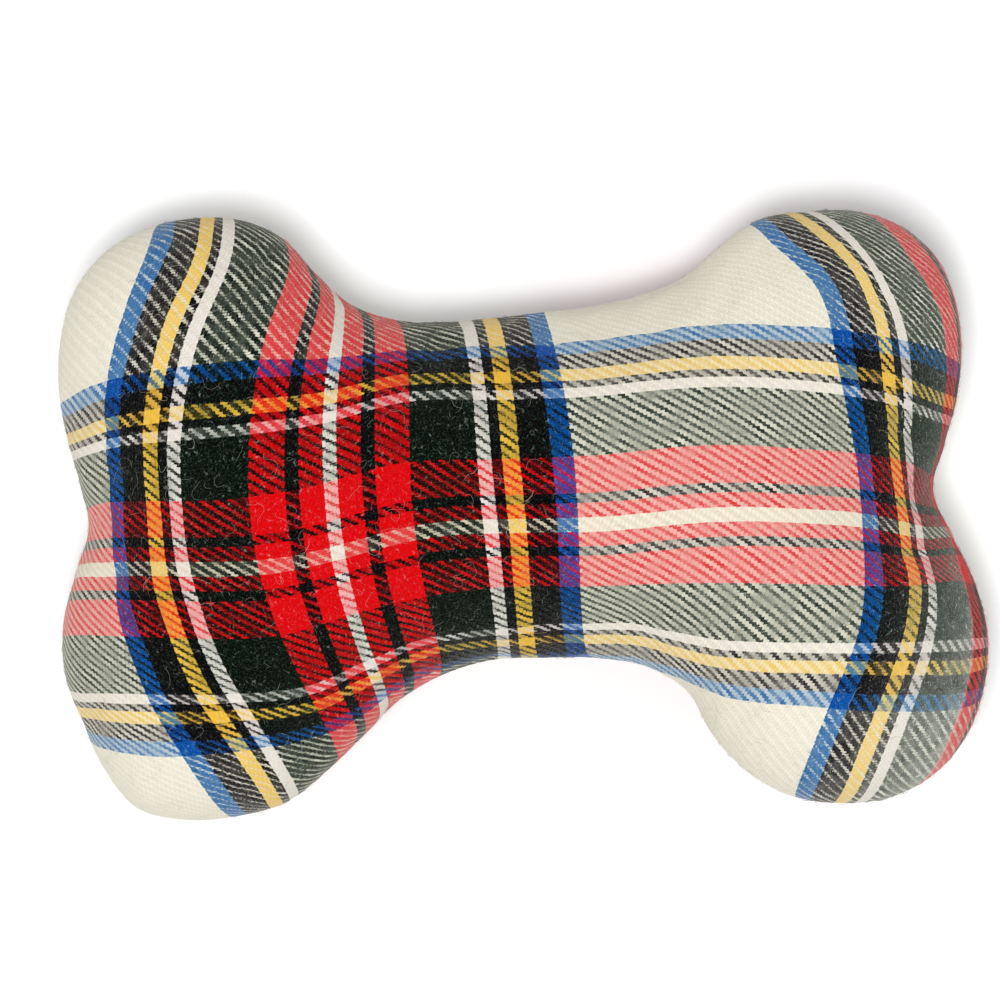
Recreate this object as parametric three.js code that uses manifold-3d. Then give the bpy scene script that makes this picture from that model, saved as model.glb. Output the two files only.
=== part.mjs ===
// A stuffed, bone-shaped squeaky dog toy.
// Two cloth panels are sewn together round their edge, turned right side out and filled with
// wads of fibre. An air squeaker sits in the middle of the shaft: pressing the toy there pushes
// a fibre pad and the squeaker's whistle down into its bladder, and the reed sounds.
//
// Units are millimetres and +Z is up. The toy lies on its lower panel on z = 0, with its length
// along X. The origin is on the floor, below the middle of the toy's bounding box.

import * as THREE from 'three';
import { mergeVertices } from 'three/addons/utils/BufferGeometryUtils.js';
import Module from 'manifold-3d';

const wasm = await Module();
wasm.setup();

// Sizes of the whole toy
const boneLength = 180;
const boneWidth = 118;
const seamHeight = 27; // from the floor to the seam between the panels
const topCrown = 30; // from the seam up to the highest point
const restFlattening = 0.5; // how deep the floor presses the lower panel flat

// Cloth and seam
const clothThickness = 1.2; // brushed wool twill
const panelGap = 0.3; // between the two folded edges
const foldRadius = 1.2; // of the outside of each folded edge
const seamAllowance = 6; // how far the folded edges reach inside
const threadDiameter = 0.5;
const stitchLineInset = 2.4; // from the outline to the stitch line
const closingLength = 40; // the hand-sewn stretch through which the toy was filled
const closingStitch = 5;
const closingBendShare = 0.12; // of a stitch, from its end to where the thread has turned
const closingThreadDiameter = 0.6;

// Clearances
const restGap = 0.3; // between pieces that rest on each other
const liningGap = 0.4; // between the cloth and the filling
const wadGap = 0.4; // between neighbouring wads of fibre
const slideGap = 0.5; // round the pad that moves
const reedGap = 0.25; // each side of the reed in its clamp

// Filling
const lobeCutShare = 0.19; // where the shaft's wads end, as a share of the bone's length
const coreRadius = 15; // of the round wad in the middle of each end
const padRadius = 20.6;

// Squeaker
const squeakerX = -1; // the middle of the squeaker, seen from above
const squeakerY = 5;
const bladderRadius = 20;
const bladderHeight = 20;
const bladderWall = 0.9;
const bladderRimRadius = 6; // of the rounding between a flat face and the side
const bladderFoldDepth = 1.6; // of the crease round the middle of the side
const bladderFoldHeight = 3.2;
const bladderBase = 17; // from the floor
const squeezeTravel = 8; // how far the pad and the whistle go down
const squeezeRoom = 0.7; // left under the sleeve when the toy is squeezed
const sleeveRadius = 4.5;
const sleeveWall = 1;
const sleeveLength = bladderHeight - bladderWall - squeezeTravel - squeezeRoom; // below the flange
const flangeRadius = 6.5;
const flangeThickness = 1;
const sleeveFit = 0.3; // between the sleeve and the bladder's neck
const coreFit = 0.2; // between the reed bed and the sleeve
const reedThickness = 0.25;
const reedWidth = 2.8;
const reedLength = 8.2;
const reedClampLength = 2.4;
const reedLift = THREE.MathUtils.degToRad(5); // how far the free end stands off its bed
const bedInset = 0.3; // from each end of the sleeve
const airGrooveWidth = 1.6;
const airGrooveDepth = 1.4;
const airGrooveLip = 2; // closed length at the inner end of the groove

// How finely the surfaces are divided
const columns = 60; // round the outline, an even number
const outerBands = 7; // of the cloth's outside, from the seam to the spine
const innerBands = 5; // of the cloth's inside and of the filling
const outlineSamples = 1200;
const stretchesPerColumn = 10;
const threadSides = 5;
const threadStepsPerColumn = 2;
const latheSteps = 32;
const smallLatheSteps = 24;
const cutOverrun = 5; // how far a cutting solid runs past what it cuts

// The outline, as shares of the bone's length and width, counterclockwise from the notch in
// the right end. The notch in the left end is the point numbered leftNotch.
const outlineShares = [
  [0.44, 0.04], [0.455, 0.13], [0.4685, 0.225], [0.467, 0.33], [0.441, 0.428],
  [0.382, 0.491], [0.304, 0.4985], [0.238, 0.476], [0.178, 0.396], [0.104, 0.352],
  [0.03, 0.335], [-0.048, 0.322], [-0.124, 0.318], [-0.183, 0.345], [-0.226, 0.402],
  [-0.272, 0.47], [-0.345, 0.4885], [-0.43, 0.452], [-0.482, 0.365], [-0.4985, 0.24],
  [-0.4885, 0.12], [-0.4665, -0.022], [-0.488, -0.135], [-0.4945, -0.235], [-0.474, -0.335],
  [-0.435, -0.45], [-0.398, -0.495], [-0.335, -0.499], [-0.262, -0.479], [-0.196, -0.402],
  [-0.128, -0.3], [-0.052, -0.245], [0.03, -0.235], [0.11, -0.242], [0.167, -0.275],
  [0.205, -0.365], [0.262, -0.446], [0.335, -0.474], [0.412, -0.454], [0.469, -0.38],
  [0.4975, -0.255], [0.493, -0.15], [0.461, -0.035],
];
const leftNotch = 21;

// The spine runs along the middle of the toy, from one end's core to the other's
const spineEndShares = [[0.31, 0.03], [-0.33, -0.005]]; // right end, then left end
const spineBowShare = 0.06; // of the width, how far the shaft's middle lies towards the rear
const spineCrowding = 0.8; // how much the columns gather at the spine's ends, from 0 to 1
const domePower = 0.45; // 0.5 makes a round edge, more makes it sharper

const shaftCentre = new THREE.Vector2(squeakerX, squeakerY);

// The shape seen from above

// Points spaced evenly along an open run of points, without the last one
function evenly(run, count) {
  const lengths = [0];
  for (let i = 1; i < run.length; i++) lengths.push(lengths[i - 1] + run[i].distanceTo(run[i - 1]));
  const total = lengths.at(-1);
  const points = [];
  let at = 1;
  for (let i = 0; i < count; i++) {
    const wanted = (total * i) / count;
    while (lengths[at] < wanted) at++;
    const share = (wanted - lengths[at - 1]) / (lengths[at] - lengths[at - 1]);
    points.push(run[at - 1].clone().lerp(run[at], share));
  }
  return points;
}

// The points moved and stretched so that their box is the toy's length by its width
function fitted(points) {
  const box = new THREE.Box2().setFromPoints(points);
  const middle = box.getCenter(new THREE.Vector2());
  const size = box.getSize(new THREE.Vector2());
  const fit = new THREE.Vector2(boneLength, boneWidth).divide(size);
  return points.map((p) => p.sub(middle).multiply(fit));
}

function makeOutline() {
  const curve = new THREE.CatmullRomCurve3(
    outlineShares.map(([x, y]) => new THREE.Vector3(x * boneLength, y * boneWidth, 0)),
    true,
  );
  const dense = Array.from({ length: outlineSamples + 1 }, (_, i) => {
    const p = curve.getPoint(i / outlineSamples);
    return new THREE.Vector2(p.x, p.y);
  });
  const turn = Math.round((outlineSamples * leftNotch) / outlineShares.length);
  const rear = dense.slice(0, turn + 1);
  const front = dense.slice(turn);
  return fitted([...evenly(rear, columns / 2), ...evenly(front, columns / 2)]);
}

const outline = makeOutline();

// The direction into the toy, square to the outline, at each column
const inward = outline.map((_, i) => {
  const ahead = outline[(i + 1) % columns];
  const behind = outline[(i + columns - 1) % columns];
  const along = ahead.clone().sub(behind).normalize();
  return new THREE.Vector2(-along.y, along.x);
});

function insetOutline(inset) {
  return outline.map((p, i) => p.clone().addScaledVector(inward[i], inset));
}

// The point on the spine that a column runs to. Columns i and columns - i share one.
const spine = (() => {
  const [right, left] = spineEndShares.map(
    ([x, y]) => new THREE.Vector2(x * boneLength, y * boneWidth),
  );
  const bow = right.clone().lerp(left, 0.5);
  bow.y += 2 * spineBowShare * boneWidth;
  const curve = new THREE.QuadraticBezierCurve(right, bow, left);
  return outline.map((_, i) => {
    const share = Math.min(i, columns - i) / (columns / 2);
    const gathered = share - (spineCrowding * Math.sin(2 * Math.PI * share)) / (2 * Math.PI);
    return curve.getPoint(gathered);
  });
})();

// Short, even stretches of an edge, each as its middle and its length
function stretchesOf(edge) {
  return edge.flatMap((a, i) => {
    const b = edge[(i + 1) % edge.length];
    return Array.from({ length: stretchesPerColumn }, (_, k) => ({
      middle: a.clone().lerp(b, (k + 0.5) / stretchesPerColumn),
      length: a.distanceTo(b) / stretchesPerColumn,
    }));
  });
}

// How deep a point lies inside an edge. Every stretch of the edge counts by the inverse cube of
// its distance, which gives the plain distance close to the edge and varies smoothly elsewhere.
function depthInside(point, stretches) {
  const sum = stretches.reduce(
    (total, { middle, length }) => total + length / Math.pow(middle.distanceTo(point), 3),
    0,
  );
  return Math.sqrt(2 / sum);
}

// Domes over the outline

// Rings of points from the edge of a dome to its crest on the spine. inset is how far its edge
// lies inside the outline, rim and crown are its heights over the seam at the edge and at the
// crest, and side is 1 above the seam or -1 below it.
function domeRings({ bands, inset, rim, crown, side }) {
  const edge = insetOutline(inset);
  const stretches = stretchesOf(edge);
  const rings = [];
  for (let band = 0; band <= bands; band++) {
    const share = 1 - Math.cos((Math.PI / 2) * (band / bands)); // close together at the edge
    rings.push(
      edge.map((p, i) => {
        const at = p.clone().lerp(spine[i], share);
        const depth = band === 0 ? 0 : depthInside(at, stretches);
        return new THREE.Vector3(at.x, at.y, depth);
      }),
    );
  }
  const deepest = Math.max(...rings.at(-1).map((p) => p.z));
  for (const p of rings.flat()) {
    const height = rim + (crown - rim) * Math.pow(p.z / deepest, domePower);
    p.z = seamHeight + side * height;
  }
  return rings;
}

// A dome cut off at a height over the seam: its edge moves up along its columns
function cutOff([edge, next, ...rest], height) {
  const over = (p) => Math.abs(p.z - seamHeight);
  const raised = edge.map((p, i) =>
    p.clone().lerp(next[i], (height - over(p)) / (over(next[i]) - over(p))),
  );
  return [raised, next, ...rest];
}

// One ring at a distance inside the outline and a height over the seam
function flatRing(inset, height) {
  return insetOutline(inset).map((p) => new THREE.Vector3(p.x, p.y, seamHeight + height));
}

// A closed surface through rings of points. The first and last ring lie on the spine, where
// each is a line that its two sides share. Every four-sided patch is folded along the diagonal
// that stands farther from the seam, so that neighbouring surfaces fold alike.
function surfaceThrough(rings, { flip = false } = {}) {
  const points = rings.flat();
  const positions = points.flatMap((p) => [p.x, p.y, p.z]);
  const count = rings[0].length;
  const index = [];
  const standOff = (a, b) => Math.abs(points[a].z + points[b].z - 2 * seamHeight);
  for (let here = 0; here < points.length - count; here += count) {
    const next = here + count;
    for (let i = 0; i < count; i++) {
      const j = (i + 1) % count;
      let quad = [here + i, here + j, next + j, next + i];
      if (standOff(quad[0], quad[2]) < standOff(quad[1], quad[3])) {
        quad = [...quad.slice(1), quad[0]];
      }
      if (flip) quad.reverse();
      index.push(quad[0], quad[1], quad[2], quad[0], quad[2], quad[3]);
    }
  }
  const geometry = new THREE.BufferGeometry();
  geometry.setAttribute('position', new THREE.Float32BufferAttribute(positions, 3));
  geometry.setIndex(index);
  return mergeVertices(geometry);
}

// Joining and cutting

function solidFrom(geometry) {
  const plain = geometry.clone();
  plain.deleteAttribute('normal');
  plain.deleteAttribute('uv');
  const merged = mergeVertices(plain);
  return new wasm.Manifold(
    new wasm.Mesh({
      numProp: 3,
      vertProperties: merged.attributes.position.array,
      triVerts: new Uint32Array(merged.index.array),
    }),
  );
}

function geometryFrom(solid) {
  const mesh = solid.getMesh();
  const geometry = new THREE.BufferGeometry();
  geometry.setAttribute('position', new THREE.Float32BufferAttribute(mesh.vertProperties, 3));
  geometry.setIndex(new THREE.BufferAttribute(mesh.triVerts, 1));
  const faceted = geometry.toNonIndexed();
  faceted.computeVertexNormals();
  return faceted;
}

// An upright solid of revolution from [radius, height] pairs that close on themselves
function turned(profile, steps = smallLatheSteps) {
  const points = [...profile, profile[0]].map(([r, z]) => new THREE.Vector2(r, z));
  return new THREE.LatheGeometry(points, steps).rotateX(Math.PI / 2);
}

function upright(geometry, centre, height = 0) {
  return geometry.translate(centre.x, centre.y, height);
}

function disc(radius, low, high, centre, steps = smallLatheSteps) {
  const profile = [[0, low], [radius, low], [radius, high], [0, high]];
  return solidFrom(upright(turned(profile, steps), centre));
}

// A box given by its lowest and highest corners
function block(low, high) {
  const size = high.map((v, i) => v - low[i]);
  const middle = high.map((v, i) => (v + low[i]) / 2);
  return solidFrom(new THREE.BoxGeometry(...size).translate(...middle));
}

// A round thread along a path
function threadAlong(points, diameter, { closed = false, steps = points.length - 1 } = {}) {
  const curve = new THREE.CatmullRomCurve3(points, closed, 'centripetal');
  const section = new THREE.Shape(
    Array.from({ length: threadSides }, (_, i) => {
      const turn = (2 * Math.PI * i) / threadSides;
      return new THREE.Vector2(Math.cos(turn), Math.sin(turn)).multiplyScalar(diameter / 2);
    }),
  );
  return new THREE.ExtrudeGeometry(section, { steps, extrudePath: curve });
}

// Panels

const layerInner = panelGap / 2; // the faces of the two layers of seam allowance, from the seam
const layerOuter = panelGap / 2 + clothThickness;

function panelRings(side) {
  const crown = side > 0 ? topCrown : seamHeight;
  const outer = domeRings({
    bands: outerBands,
    inset: 0,
    rim: foldRadius,
    crown: side > 0 ? crown : crown + restFlattening,
    side,
  });
  const inner = domeRings({
    bands: innerBands,
    inset: clothThickness,
    rim: layerOuter,
    crown: crown - clothThickness,
    side,
  });
  const foldTurn = Math.PI / 4;
  const fold = flatRing(
    foldRadius * (1 - Math.cos(foldTurn)),
    side * (foldRadius - (foldRadius - layerInner) * Math.sin(foldTurn)),
  );
  return [
    ...outer.reverse(),
    fold,
    flatRing(foldRadius, side * layerInner),
    flatRing(seamAllowance, side * layerInner),
    flatRing(seamAllowance, side * layerOuter),
    ...inner,
  ];
}

// Threads

const stitchLine = new THREE.CurvePath();
insetOutline(stitchLineInset).forEach((p, i, line) => {
  stitchLine.add(new THREE.LineCurve(p, line[(i + 1) % columns]));
});
const seamLength = stitchLine.getLength();

// A place on the stitch line, at a distance along it and a height over the seam
function onStitchLine(distance, height) {
  const turns = distance / seamLength;
  const p = stitchLine.getPoint(turns - Math.floor(turns));
  return new THREE.Vector3(p.x, p.y, seamHeight + height);
}

// How far along the stitch line the hand-sewn stretch has its middle: on the toy's front edge,
// straight in front of the squeaker
const closingMiddle = (() => {
  const front = stitchLine.curves.findIndex(
    ({ v1, v2 }) => v1.x <= shaftCentre.x && v2.x > shaftCentre.x,
  );
  const { v1, v2 } = stitchLine.curves[front];
  const share = (shaftCentre.x - v1.x) / (v2.x - v1.x);
  return stitchLine.getCurveLengths()[front - 1] + share * v1.distanceTo(v2);
})();

function machineThread(side) {
  const height = side * (layerOuter + restGap + threadDiameter / 2);
  const start = closingMiddle + closingLength / 2;
  const length = seamLength - closingLength;
  const steps = Math.round((threadStepsPerColumn * columns * length) / seamLength);
  const points = Array.from({ length: steps + 1 }, (_, i) =>
    onStitchLine(start + (length * i) / steps, height),
  );
  return threadAlong(points, threadDiameter);
}

// A ladder stitch: it runs inside the fold of one panel for a stitch, crosses both layers, and
// runs inside the fold of the other
function closingPath() {
  const stitches = Math.round(closingLength / closingStitch);
  const height = layerOuter + restGap + closingThreadDiameter / 2;
  const start = closingMiddle - closingLength / 2;
  const points = [];
  for (let s = 0; s < stitches; s++) {
    const side = s % 2 ? -1 : 1;
    for (const share of [closingBendShare, 0.5, 1 - closingBendShare]) {
      points.push(onStitchLine(start + (closingLength * (s + share)) / stitches, side * height));
    }
  }
  return points;
}

// Filling

// The space inside the panels: two domes, with a shelf cut in between for the seam allowances
// and the threads on them
function cavityRings() {
  const inset = clothThickness + liningGap;
  const shelf = layerOuter + closingThreadDiameter + 2 * restGap;
  const shelfInset = seamAllowance + liningGap;
  const rim = layerOuter - liningGap;
  const dome = (side, crown) =>
    cutOff(domeRings({ bands: innerBands, inset, rim, crown: crown - inset, side }), shelf);
  return [
    ...dome(1, topCrown).reverse(),
    flatRing(shelfInset, shelf),
    flatRing(shelfInset, -shelf),
    ...dome(-1, seamHeight),
  ];
}

function fillingSolids() {
  const cavity = solidFrom(surfaceThrough(cavityRings(), { flip: true }));
  const reach = { x: boneLength, y: boneWidth, z: seamHeight + topCrown + cutOverrun };
  const cut = lobeCutShare * boneLength;
  const half = wadGap / 2;
  const low = -cutOverrun;
  const bladderTop = bladderBase + bladderHeight;
  const well = disc(padRadius + slideGap, low, reach.z, shaftCentre, latheSteps);
  const pieces = {};

  const ends = { right: spine[0], left: spine[columns / 2] };
  for (const [name, core] of Object.entries(ends)) {
    const outwards = Math.sign(core.x);
    const from = outwards * (cut + half);
    const to = outwards * reach.x;
    const [x0, x1] = [Math.min(from, to), Math.max(from, to)];
    const end = cavity.intersect(block([x0, -reach.y, low], [x1, reach.y, reach.z]));
    const hub = disc(coreRadius, low, reach.z, core);
    const round = end.subtract(disc(coreRadius + wadGap, low, reach.z, core));
    pieces[`filling_${name}_core`] = end.intersect(hub);
    pieces[`filling_${name}_rear_lobe`] = round.intersect(
      block([x0, core.y + half, low], [x1, reach.y, reach.z]),
    );
    pieces[`filling_${name}_front_lobe`] = round.intersect(
      block([x0, -reach.y, low], [x1, core.y - half, reach.z]),
    );
  }

  const shaft = cavity.intersect(
    block([-cut + half, -reach.y, low], [cut - half, reach.y, reach.z]),
  );
  const collar = shaft.subtract(well);
  pieces.filling_shaft_rear = collar.intersect(
    block([-reach.x, shaftCentre.y + half, low], [reach.x, reach.y, reach.z]),
  );
  pieces.filling_shaft_front = collar.intersect(
    block([-reach.x, -reach.y, low], [reach.x, shaftCentre.y - half, reach.z]),
  );
  pieces.filling_bed = shaft.intersect(
    disc(padRadius, low, bladderBase - restGap, shaftCentre, latheSteps),
  );
  const recess = flangeThickness + 2 * restGap;
  pieces.filling_press_pad = shaft
    .intersect(disc(padRadius, bladderTop + restGap, reach.z, shaftCentre, latheSteps))
    .subtract(disc(flangeRadius + restGap, low, bladderTop + recess, shaftCentre));
  return pieces;
}

// Squeaker, each piece made with the bladder's top face at height 0

// Half of the bladder's outline from its neck to the crease round its side
function bladderArc(radius, height, rim, foldDepth, foldHeight, neck) {
  const turns = 4;
  const points = [[neck, height / 2]];
  for (let i = 0; i <= turns; i++) {
    const turn = (Math.PI / 2) * (i / turns);
    points.push([radius - rim + rim * Math.sin(turn), height / 2 - rim + rim * Math.cos(turn)]);
  }
  points.push([radius, foldHeight / 2], [radius - foldDepth, 0]);
  return points;
}

function bladder() {
  const wall = bladderWall;
  const neck = sleeveRadius + sleeveFit;
  const size = [bladderHeight, bladderRimRadius, bladderFoldDepth, bladderFoldHeight];
  const outer = bladderArc(bladderRadius, ...size, neck);
  const inner = bladderArc(
    bladderRadius - wall,
    bladderHeight - 2 * wall,
    bladderRimRadius - wall,
    bladderFoldDepth,
    bladderFoldHeight,
    neck,
  );
  const mirrored = (points) => points.map(([r, z]) => [r, -z]).reverse();
  const closedEnd = ([, ...points], height) => [...points.slice(1, -1), [0, -height / 2]];
  const outside = [...outer, ...closedEnd(mirrored(outer), bladderHeight)];
  const inside = [...inner, ...closedEnd(mirrored(inner), bladderHeight - 2 * wall)];
  const profile = [...outside, ...inside.reverse()].map(([r, z]) => [r, z - bladderHeight / 2]);
  return turned(profile.reverse(), latheSteps);
}

function sleeve() {
  const bore = sleeveRadius - sleeveWall;
  return turned([
    [bore, -sleeveLength],
    [sleeveRadius, -sleeveLength],
    [sleeveRadius, restGap],
    [flangeRadius, restGap],
    [flangeRadius, restGap + flangeThickness],
    [bore, restGap + flangeThickness],
  ]);
}

const bedRadius = sleeveRadius - sleeveWall - coreFit;
const bedFace = -(reedThickness / 2 + reedGap); // the flat that the reed closes on
const bedTop = -bedInset;
const bedBottom = -sleeveLength + bedInset;

// A block that fills the bore on one side of the reed: side is -1 for the bed and 1 for the
// wedge
function halfRound(side, low, high) {
  const face = Math.abs(bedFace);
  const turn = Math.asin(face / bedRadius);
  const shape = new THREE.Shape();
  shape.absarc(0, 0, bedRadius, turn, Math.PI - turn, false);
  shape.closePath();
  const geometry = new THREE.ExtrudeGeometry(shape, {
    depth: high - low,
    bevelEnabled: false,
    curveSegments: smallLatheSteps / 2,
  });
  if (side < 0) geometry.rotateZ(Math.PI);
  return geometry.translate(0, 0, low);
}

function reedBed() {
  const groove = block(
    [-airGrooveWidth / 2, bedFace - airGrooveDepth, bedBottom + airGrooveLip],
    [airGrooveWidth / 2, bedFace + cutOverrun, bedTop + cutOverrun],
  );
  return geometryFrom(solidFrom(halfRound(-1, bedBottom, bedTop)).subtract(groove));
}

function reedWedge() {
  return halfRound(1, bedTop - reedClampLength, bedTop);
}

// A thin strip, flat where it is clamped and lifted off its bed beyond
function reed() {
  const half = reedThickness / 2;
  const bend = bedTop - reedClampLength;
  const free = reedLength - reedClampLength;
  const tip = [free * Math.sin(reedLift), bend - free * Math.cos(reedLift)];
  const across = [half * Math.cos(reedLift), half * Math.sin(reedLift)];
  const shape = new THREE.Shape(
    [
      [-half, bedTop],
      [-half, bend],
      [tip[0] - across[0], tip[1] - across[1]],
      [tip[0] + across[0], tip[1] + across[1]],
      [half, bend],
      [half, bedTop],
    ].map(([y, z]) => new THREE.Vector2(y, z)),
  );
  const strip = new THREE.ExtrudeGeometry(shape, { depth: reedWidth, bevelEnabled: false });
  strip.translate(0, 0, -reedWidth / 2);
  return strip.applyMatrix4(
    new THREE.Matrix4().makeBasis(
      new THREE.Vector3(0, 1, 0),
      new THREE.Vector3(0, 0, 1),
      new THREE.Vector3(1, 0, 0),
    ),
  );
}

// Finishes
const cloth = new THREE.MeshStandardMaterial({ color: 0xb9a89a, roughness: 0.95 });
const sewingThread = new THREE.MeshStandardMaterial({ color: 0xe8e2d2, roughness: 0.8 });
const fibre = new THREE.MeshStandardMaterial({ color: 0xf4f3ef, roughness: 1 });
const softPlastic = new THREE.MeshStandardMaterial({ color: 0xe9ecec, roughness: 0.45 });
const hardPlastic = new THREE.MeshStandardMaterial({ color: 0xf2f2ee, roughness: 0.35 });
const reedFilm = new THREE.MeshStandardMaterial({ color: 0xd8e4ea, roughness: 0.2 });

// Assembly
const toy = new THREE.Group();

function add(parent, name, geometry, material) {
  const mesh = new THREE.Mesh(geometry, material);
  mesh.name = name;
  parent.add(mesh);
  return mesh;
}

const closing = closingPath();
const closingSteps = closing.length * 2;
const closingRoom = solidFrom(
  threadAlong(closing, closingThreadDiameter + 2 * restGap, { steps: closingSteps }),
);
const underFloor = block([-boneLength, -boneWidth, -cutOverrun], [boneLength, boneWidth, 0]);
for (const [name, side] of [['top_panel', 1], ['bottom_panel', -1]]) {
  const panel = solidFrom(surfaceThrough(panelRings(side), { flip: side > 0 }));
  add(toy, name, geometryFrom(panel.subtract(closingRoom).subtract(underFloor)), cloth);
}
add(toy, 'needle_thread', machineThread(1), sewingThread);
add(toy, 'bobbin_thread', machineThread(-1), sewingThread);
add(
  toy,
  'closing_thread',
  threadAlong(closing, closingThreadDiameter, { steps: closingSteps }),
  sewingThread,
);
for (const [name, solid] of Object.entries(fillingSolids())) {
  add(toy, name, geometryFrom(solid), fibre);
}

const squeaker = new THREE.Group();
squeaker.position.set(shaftCentre.x, shaftCentre.y, bladderBase + bladderHeight);
toy.add(squeaker);
add(squeaker, 'squeaker_bladder', bladder(), softPlastic);
add(squeaker, 'squeaker_sleeve', sleeve(), hardPlastic);
add(squeaker, 'squeaker_reed_bed', reedBed(), hardPlastic);
add(squeaker, 'squeaker_reed_wedge', reedWedge(), hardPlastic);
add(squeaker, 'squeaker_reed', reed(), reedFilm);

export default toy;
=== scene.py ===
# %% [markdown]
# # A squeaky bone in tartan flannel
#
# The toy is two bone-shaped panels of brushed flannel, sewn face to face, turned right side
# out and stuffed with fibre round an air squeaker. The solids of every piece come in as a
# fixed frame, at their real size. This script dresses them: it swells the panels, weaves the
# tartan thread by thread, lets the nap stand up, and finishes what lies inside.

# %% Load the frame
import math

import bmesh
import bpy
import numpy as np
from mathutils import Matrix, Vector, noise
from mathutils.bvhtree import BVHTree
from mathutils.geometry import barycentric_transform


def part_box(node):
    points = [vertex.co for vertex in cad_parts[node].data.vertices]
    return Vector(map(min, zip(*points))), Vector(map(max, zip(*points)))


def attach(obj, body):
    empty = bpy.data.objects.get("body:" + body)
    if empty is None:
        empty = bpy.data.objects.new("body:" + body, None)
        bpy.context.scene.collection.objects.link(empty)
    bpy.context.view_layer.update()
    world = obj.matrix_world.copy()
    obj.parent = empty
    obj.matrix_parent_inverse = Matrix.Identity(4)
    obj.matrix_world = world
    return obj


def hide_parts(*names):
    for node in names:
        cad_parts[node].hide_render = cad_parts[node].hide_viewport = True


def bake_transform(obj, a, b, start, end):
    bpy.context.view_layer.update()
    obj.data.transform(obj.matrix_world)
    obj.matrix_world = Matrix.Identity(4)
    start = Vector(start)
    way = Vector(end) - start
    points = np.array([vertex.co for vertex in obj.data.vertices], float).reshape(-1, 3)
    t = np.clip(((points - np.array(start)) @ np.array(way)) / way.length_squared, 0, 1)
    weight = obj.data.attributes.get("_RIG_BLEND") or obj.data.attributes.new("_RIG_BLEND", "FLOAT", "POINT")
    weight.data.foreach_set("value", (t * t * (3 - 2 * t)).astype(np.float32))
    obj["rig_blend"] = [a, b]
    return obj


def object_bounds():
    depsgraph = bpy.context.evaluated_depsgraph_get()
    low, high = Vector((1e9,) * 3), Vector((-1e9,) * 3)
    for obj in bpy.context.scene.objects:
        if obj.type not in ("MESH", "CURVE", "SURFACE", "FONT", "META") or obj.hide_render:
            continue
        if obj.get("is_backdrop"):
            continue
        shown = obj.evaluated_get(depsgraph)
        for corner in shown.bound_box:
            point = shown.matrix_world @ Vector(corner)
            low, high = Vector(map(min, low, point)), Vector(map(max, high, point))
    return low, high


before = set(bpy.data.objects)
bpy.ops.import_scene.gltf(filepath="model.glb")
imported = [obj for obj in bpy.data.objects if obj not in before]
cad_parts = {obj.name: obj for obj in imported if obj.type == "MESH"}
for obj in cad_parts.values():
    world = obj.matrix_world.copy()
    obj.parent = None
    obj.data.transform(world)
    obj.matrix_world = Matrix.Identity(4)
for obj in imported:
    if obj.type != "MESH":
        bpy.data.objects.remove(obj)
cad_low, cad_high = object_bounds()
MM = 0.001
print("the solids fill", [round(x / MM, 1) for x in cad_high - cad_low], "mm")

# %% [markdown]
# ## The photograph's point of view
#
# The toy was photographed from straight above. A camera one metre over the seam shows the
# same slight perspective. The lens follows from how much of the table the picture shows.

# %% Camera
scene = bpy.context.scene
PICTURE_SIDE = 1000  # pixels
PICTURED_WIDTH = 194.2 * MM  # of the table, in the plane of the seam
PICTURE_CENTRE = Vector((-4.47 * MM, 3.0 * MM))
CAMERA_DISTANCE = 1.0
SENSOR = 36.0



def placed(name, data):
    """A new object in the scene."""
    made = bpy.data.objects.new(name, data)
    scene.collection.objects.link(made)
    return made


seam_z = (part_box("top_panel")[0].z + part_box("bottom_panel")[1].z) / 2
camera = placed("camera", bpy.data.cameras.new("camera"))
camera.location = (*PICTURE_CENTRE, seam_z + CAMERA_DISTANCE)
camera.data.sensor_width = SENSOR
camera.data.lens = SENSOR * CAMERA_DISTANCE / PICTURED_WIDTH
scene.camera = camera
print("seam at", round(seam_z / MM, 2), "mm, lens", round(camera.data.lens, 1), "mm")


def pictured(x, y):
    """The place in the seam's plane that a pixel of the photograph shows."""
    scale = PICTURED_WIDTH / PICTURE_SIDE
    half = PICTURE_SIDE / 2
    return Vector((
        PICTURE_CENTRE.x + (x - half) * scale,
        PICTURE_CENTRE.y - (y - half) * scale,
        seam_z,
    ))


# %% [markdown]
# ## The panels
#
# Each panel is one flat piece of cloth that the stuffing swells into a dome. It could be a
# remeshed copy of its solid, but then the seam would blur. So the dome is drawn flat first:
# rings follow the seam and even squares fill the middle, which suits both the cloth
# simulation and the tartan. Then every point is raised by how deep it lies inside the seam.

# %% The seam's outline
FOLD_RADIUS = 1.2 * MM  # of each panel's folded edge
SAME_PLACE = MM / 1000
COLUMNS = 320  # round the seam
SIDES = {"cover_top": 1, "cover_bottom": -1}  # over the seam, and under it


def welded(data):
    """A mesh opened for editing, with the vertices that share a place joined."""
    mesh = bmesh.new()
    mesh.from_mesh(data)
    bmesh.ops.remove_doubles(mesh, verts=mesh.verts, dist=SAME_PLACE)
    return mesh


def panel_outline(node, side):
    """The folded edge of a panel's solid: its places in order, counterclockwise."""
    solid = welded(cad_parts[node].data)
    height = seam_z + side * FOLD_RADIUS
    ring = {v for v in solid.verts if abs(v.co.z - height) < SAME_PLACE}
    order = [max(ring, key=lambda v: (v.co.x, v.co.y))]
    while len(order) < len(ring):
        beside = (e.other_vert(order[-1]) for e in order[-1].link_edges)
        order.append(next(v for v in beside if v in ring and v not in order))
    places = np.array([v.co.xy for v in order])
    solid.free()
    x, y = places.T
    turning = (x * np.roll(y, -1) - np.roll(x, -1) * y).sum()
    return places if turning > 0 else places[::-1]


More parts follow.
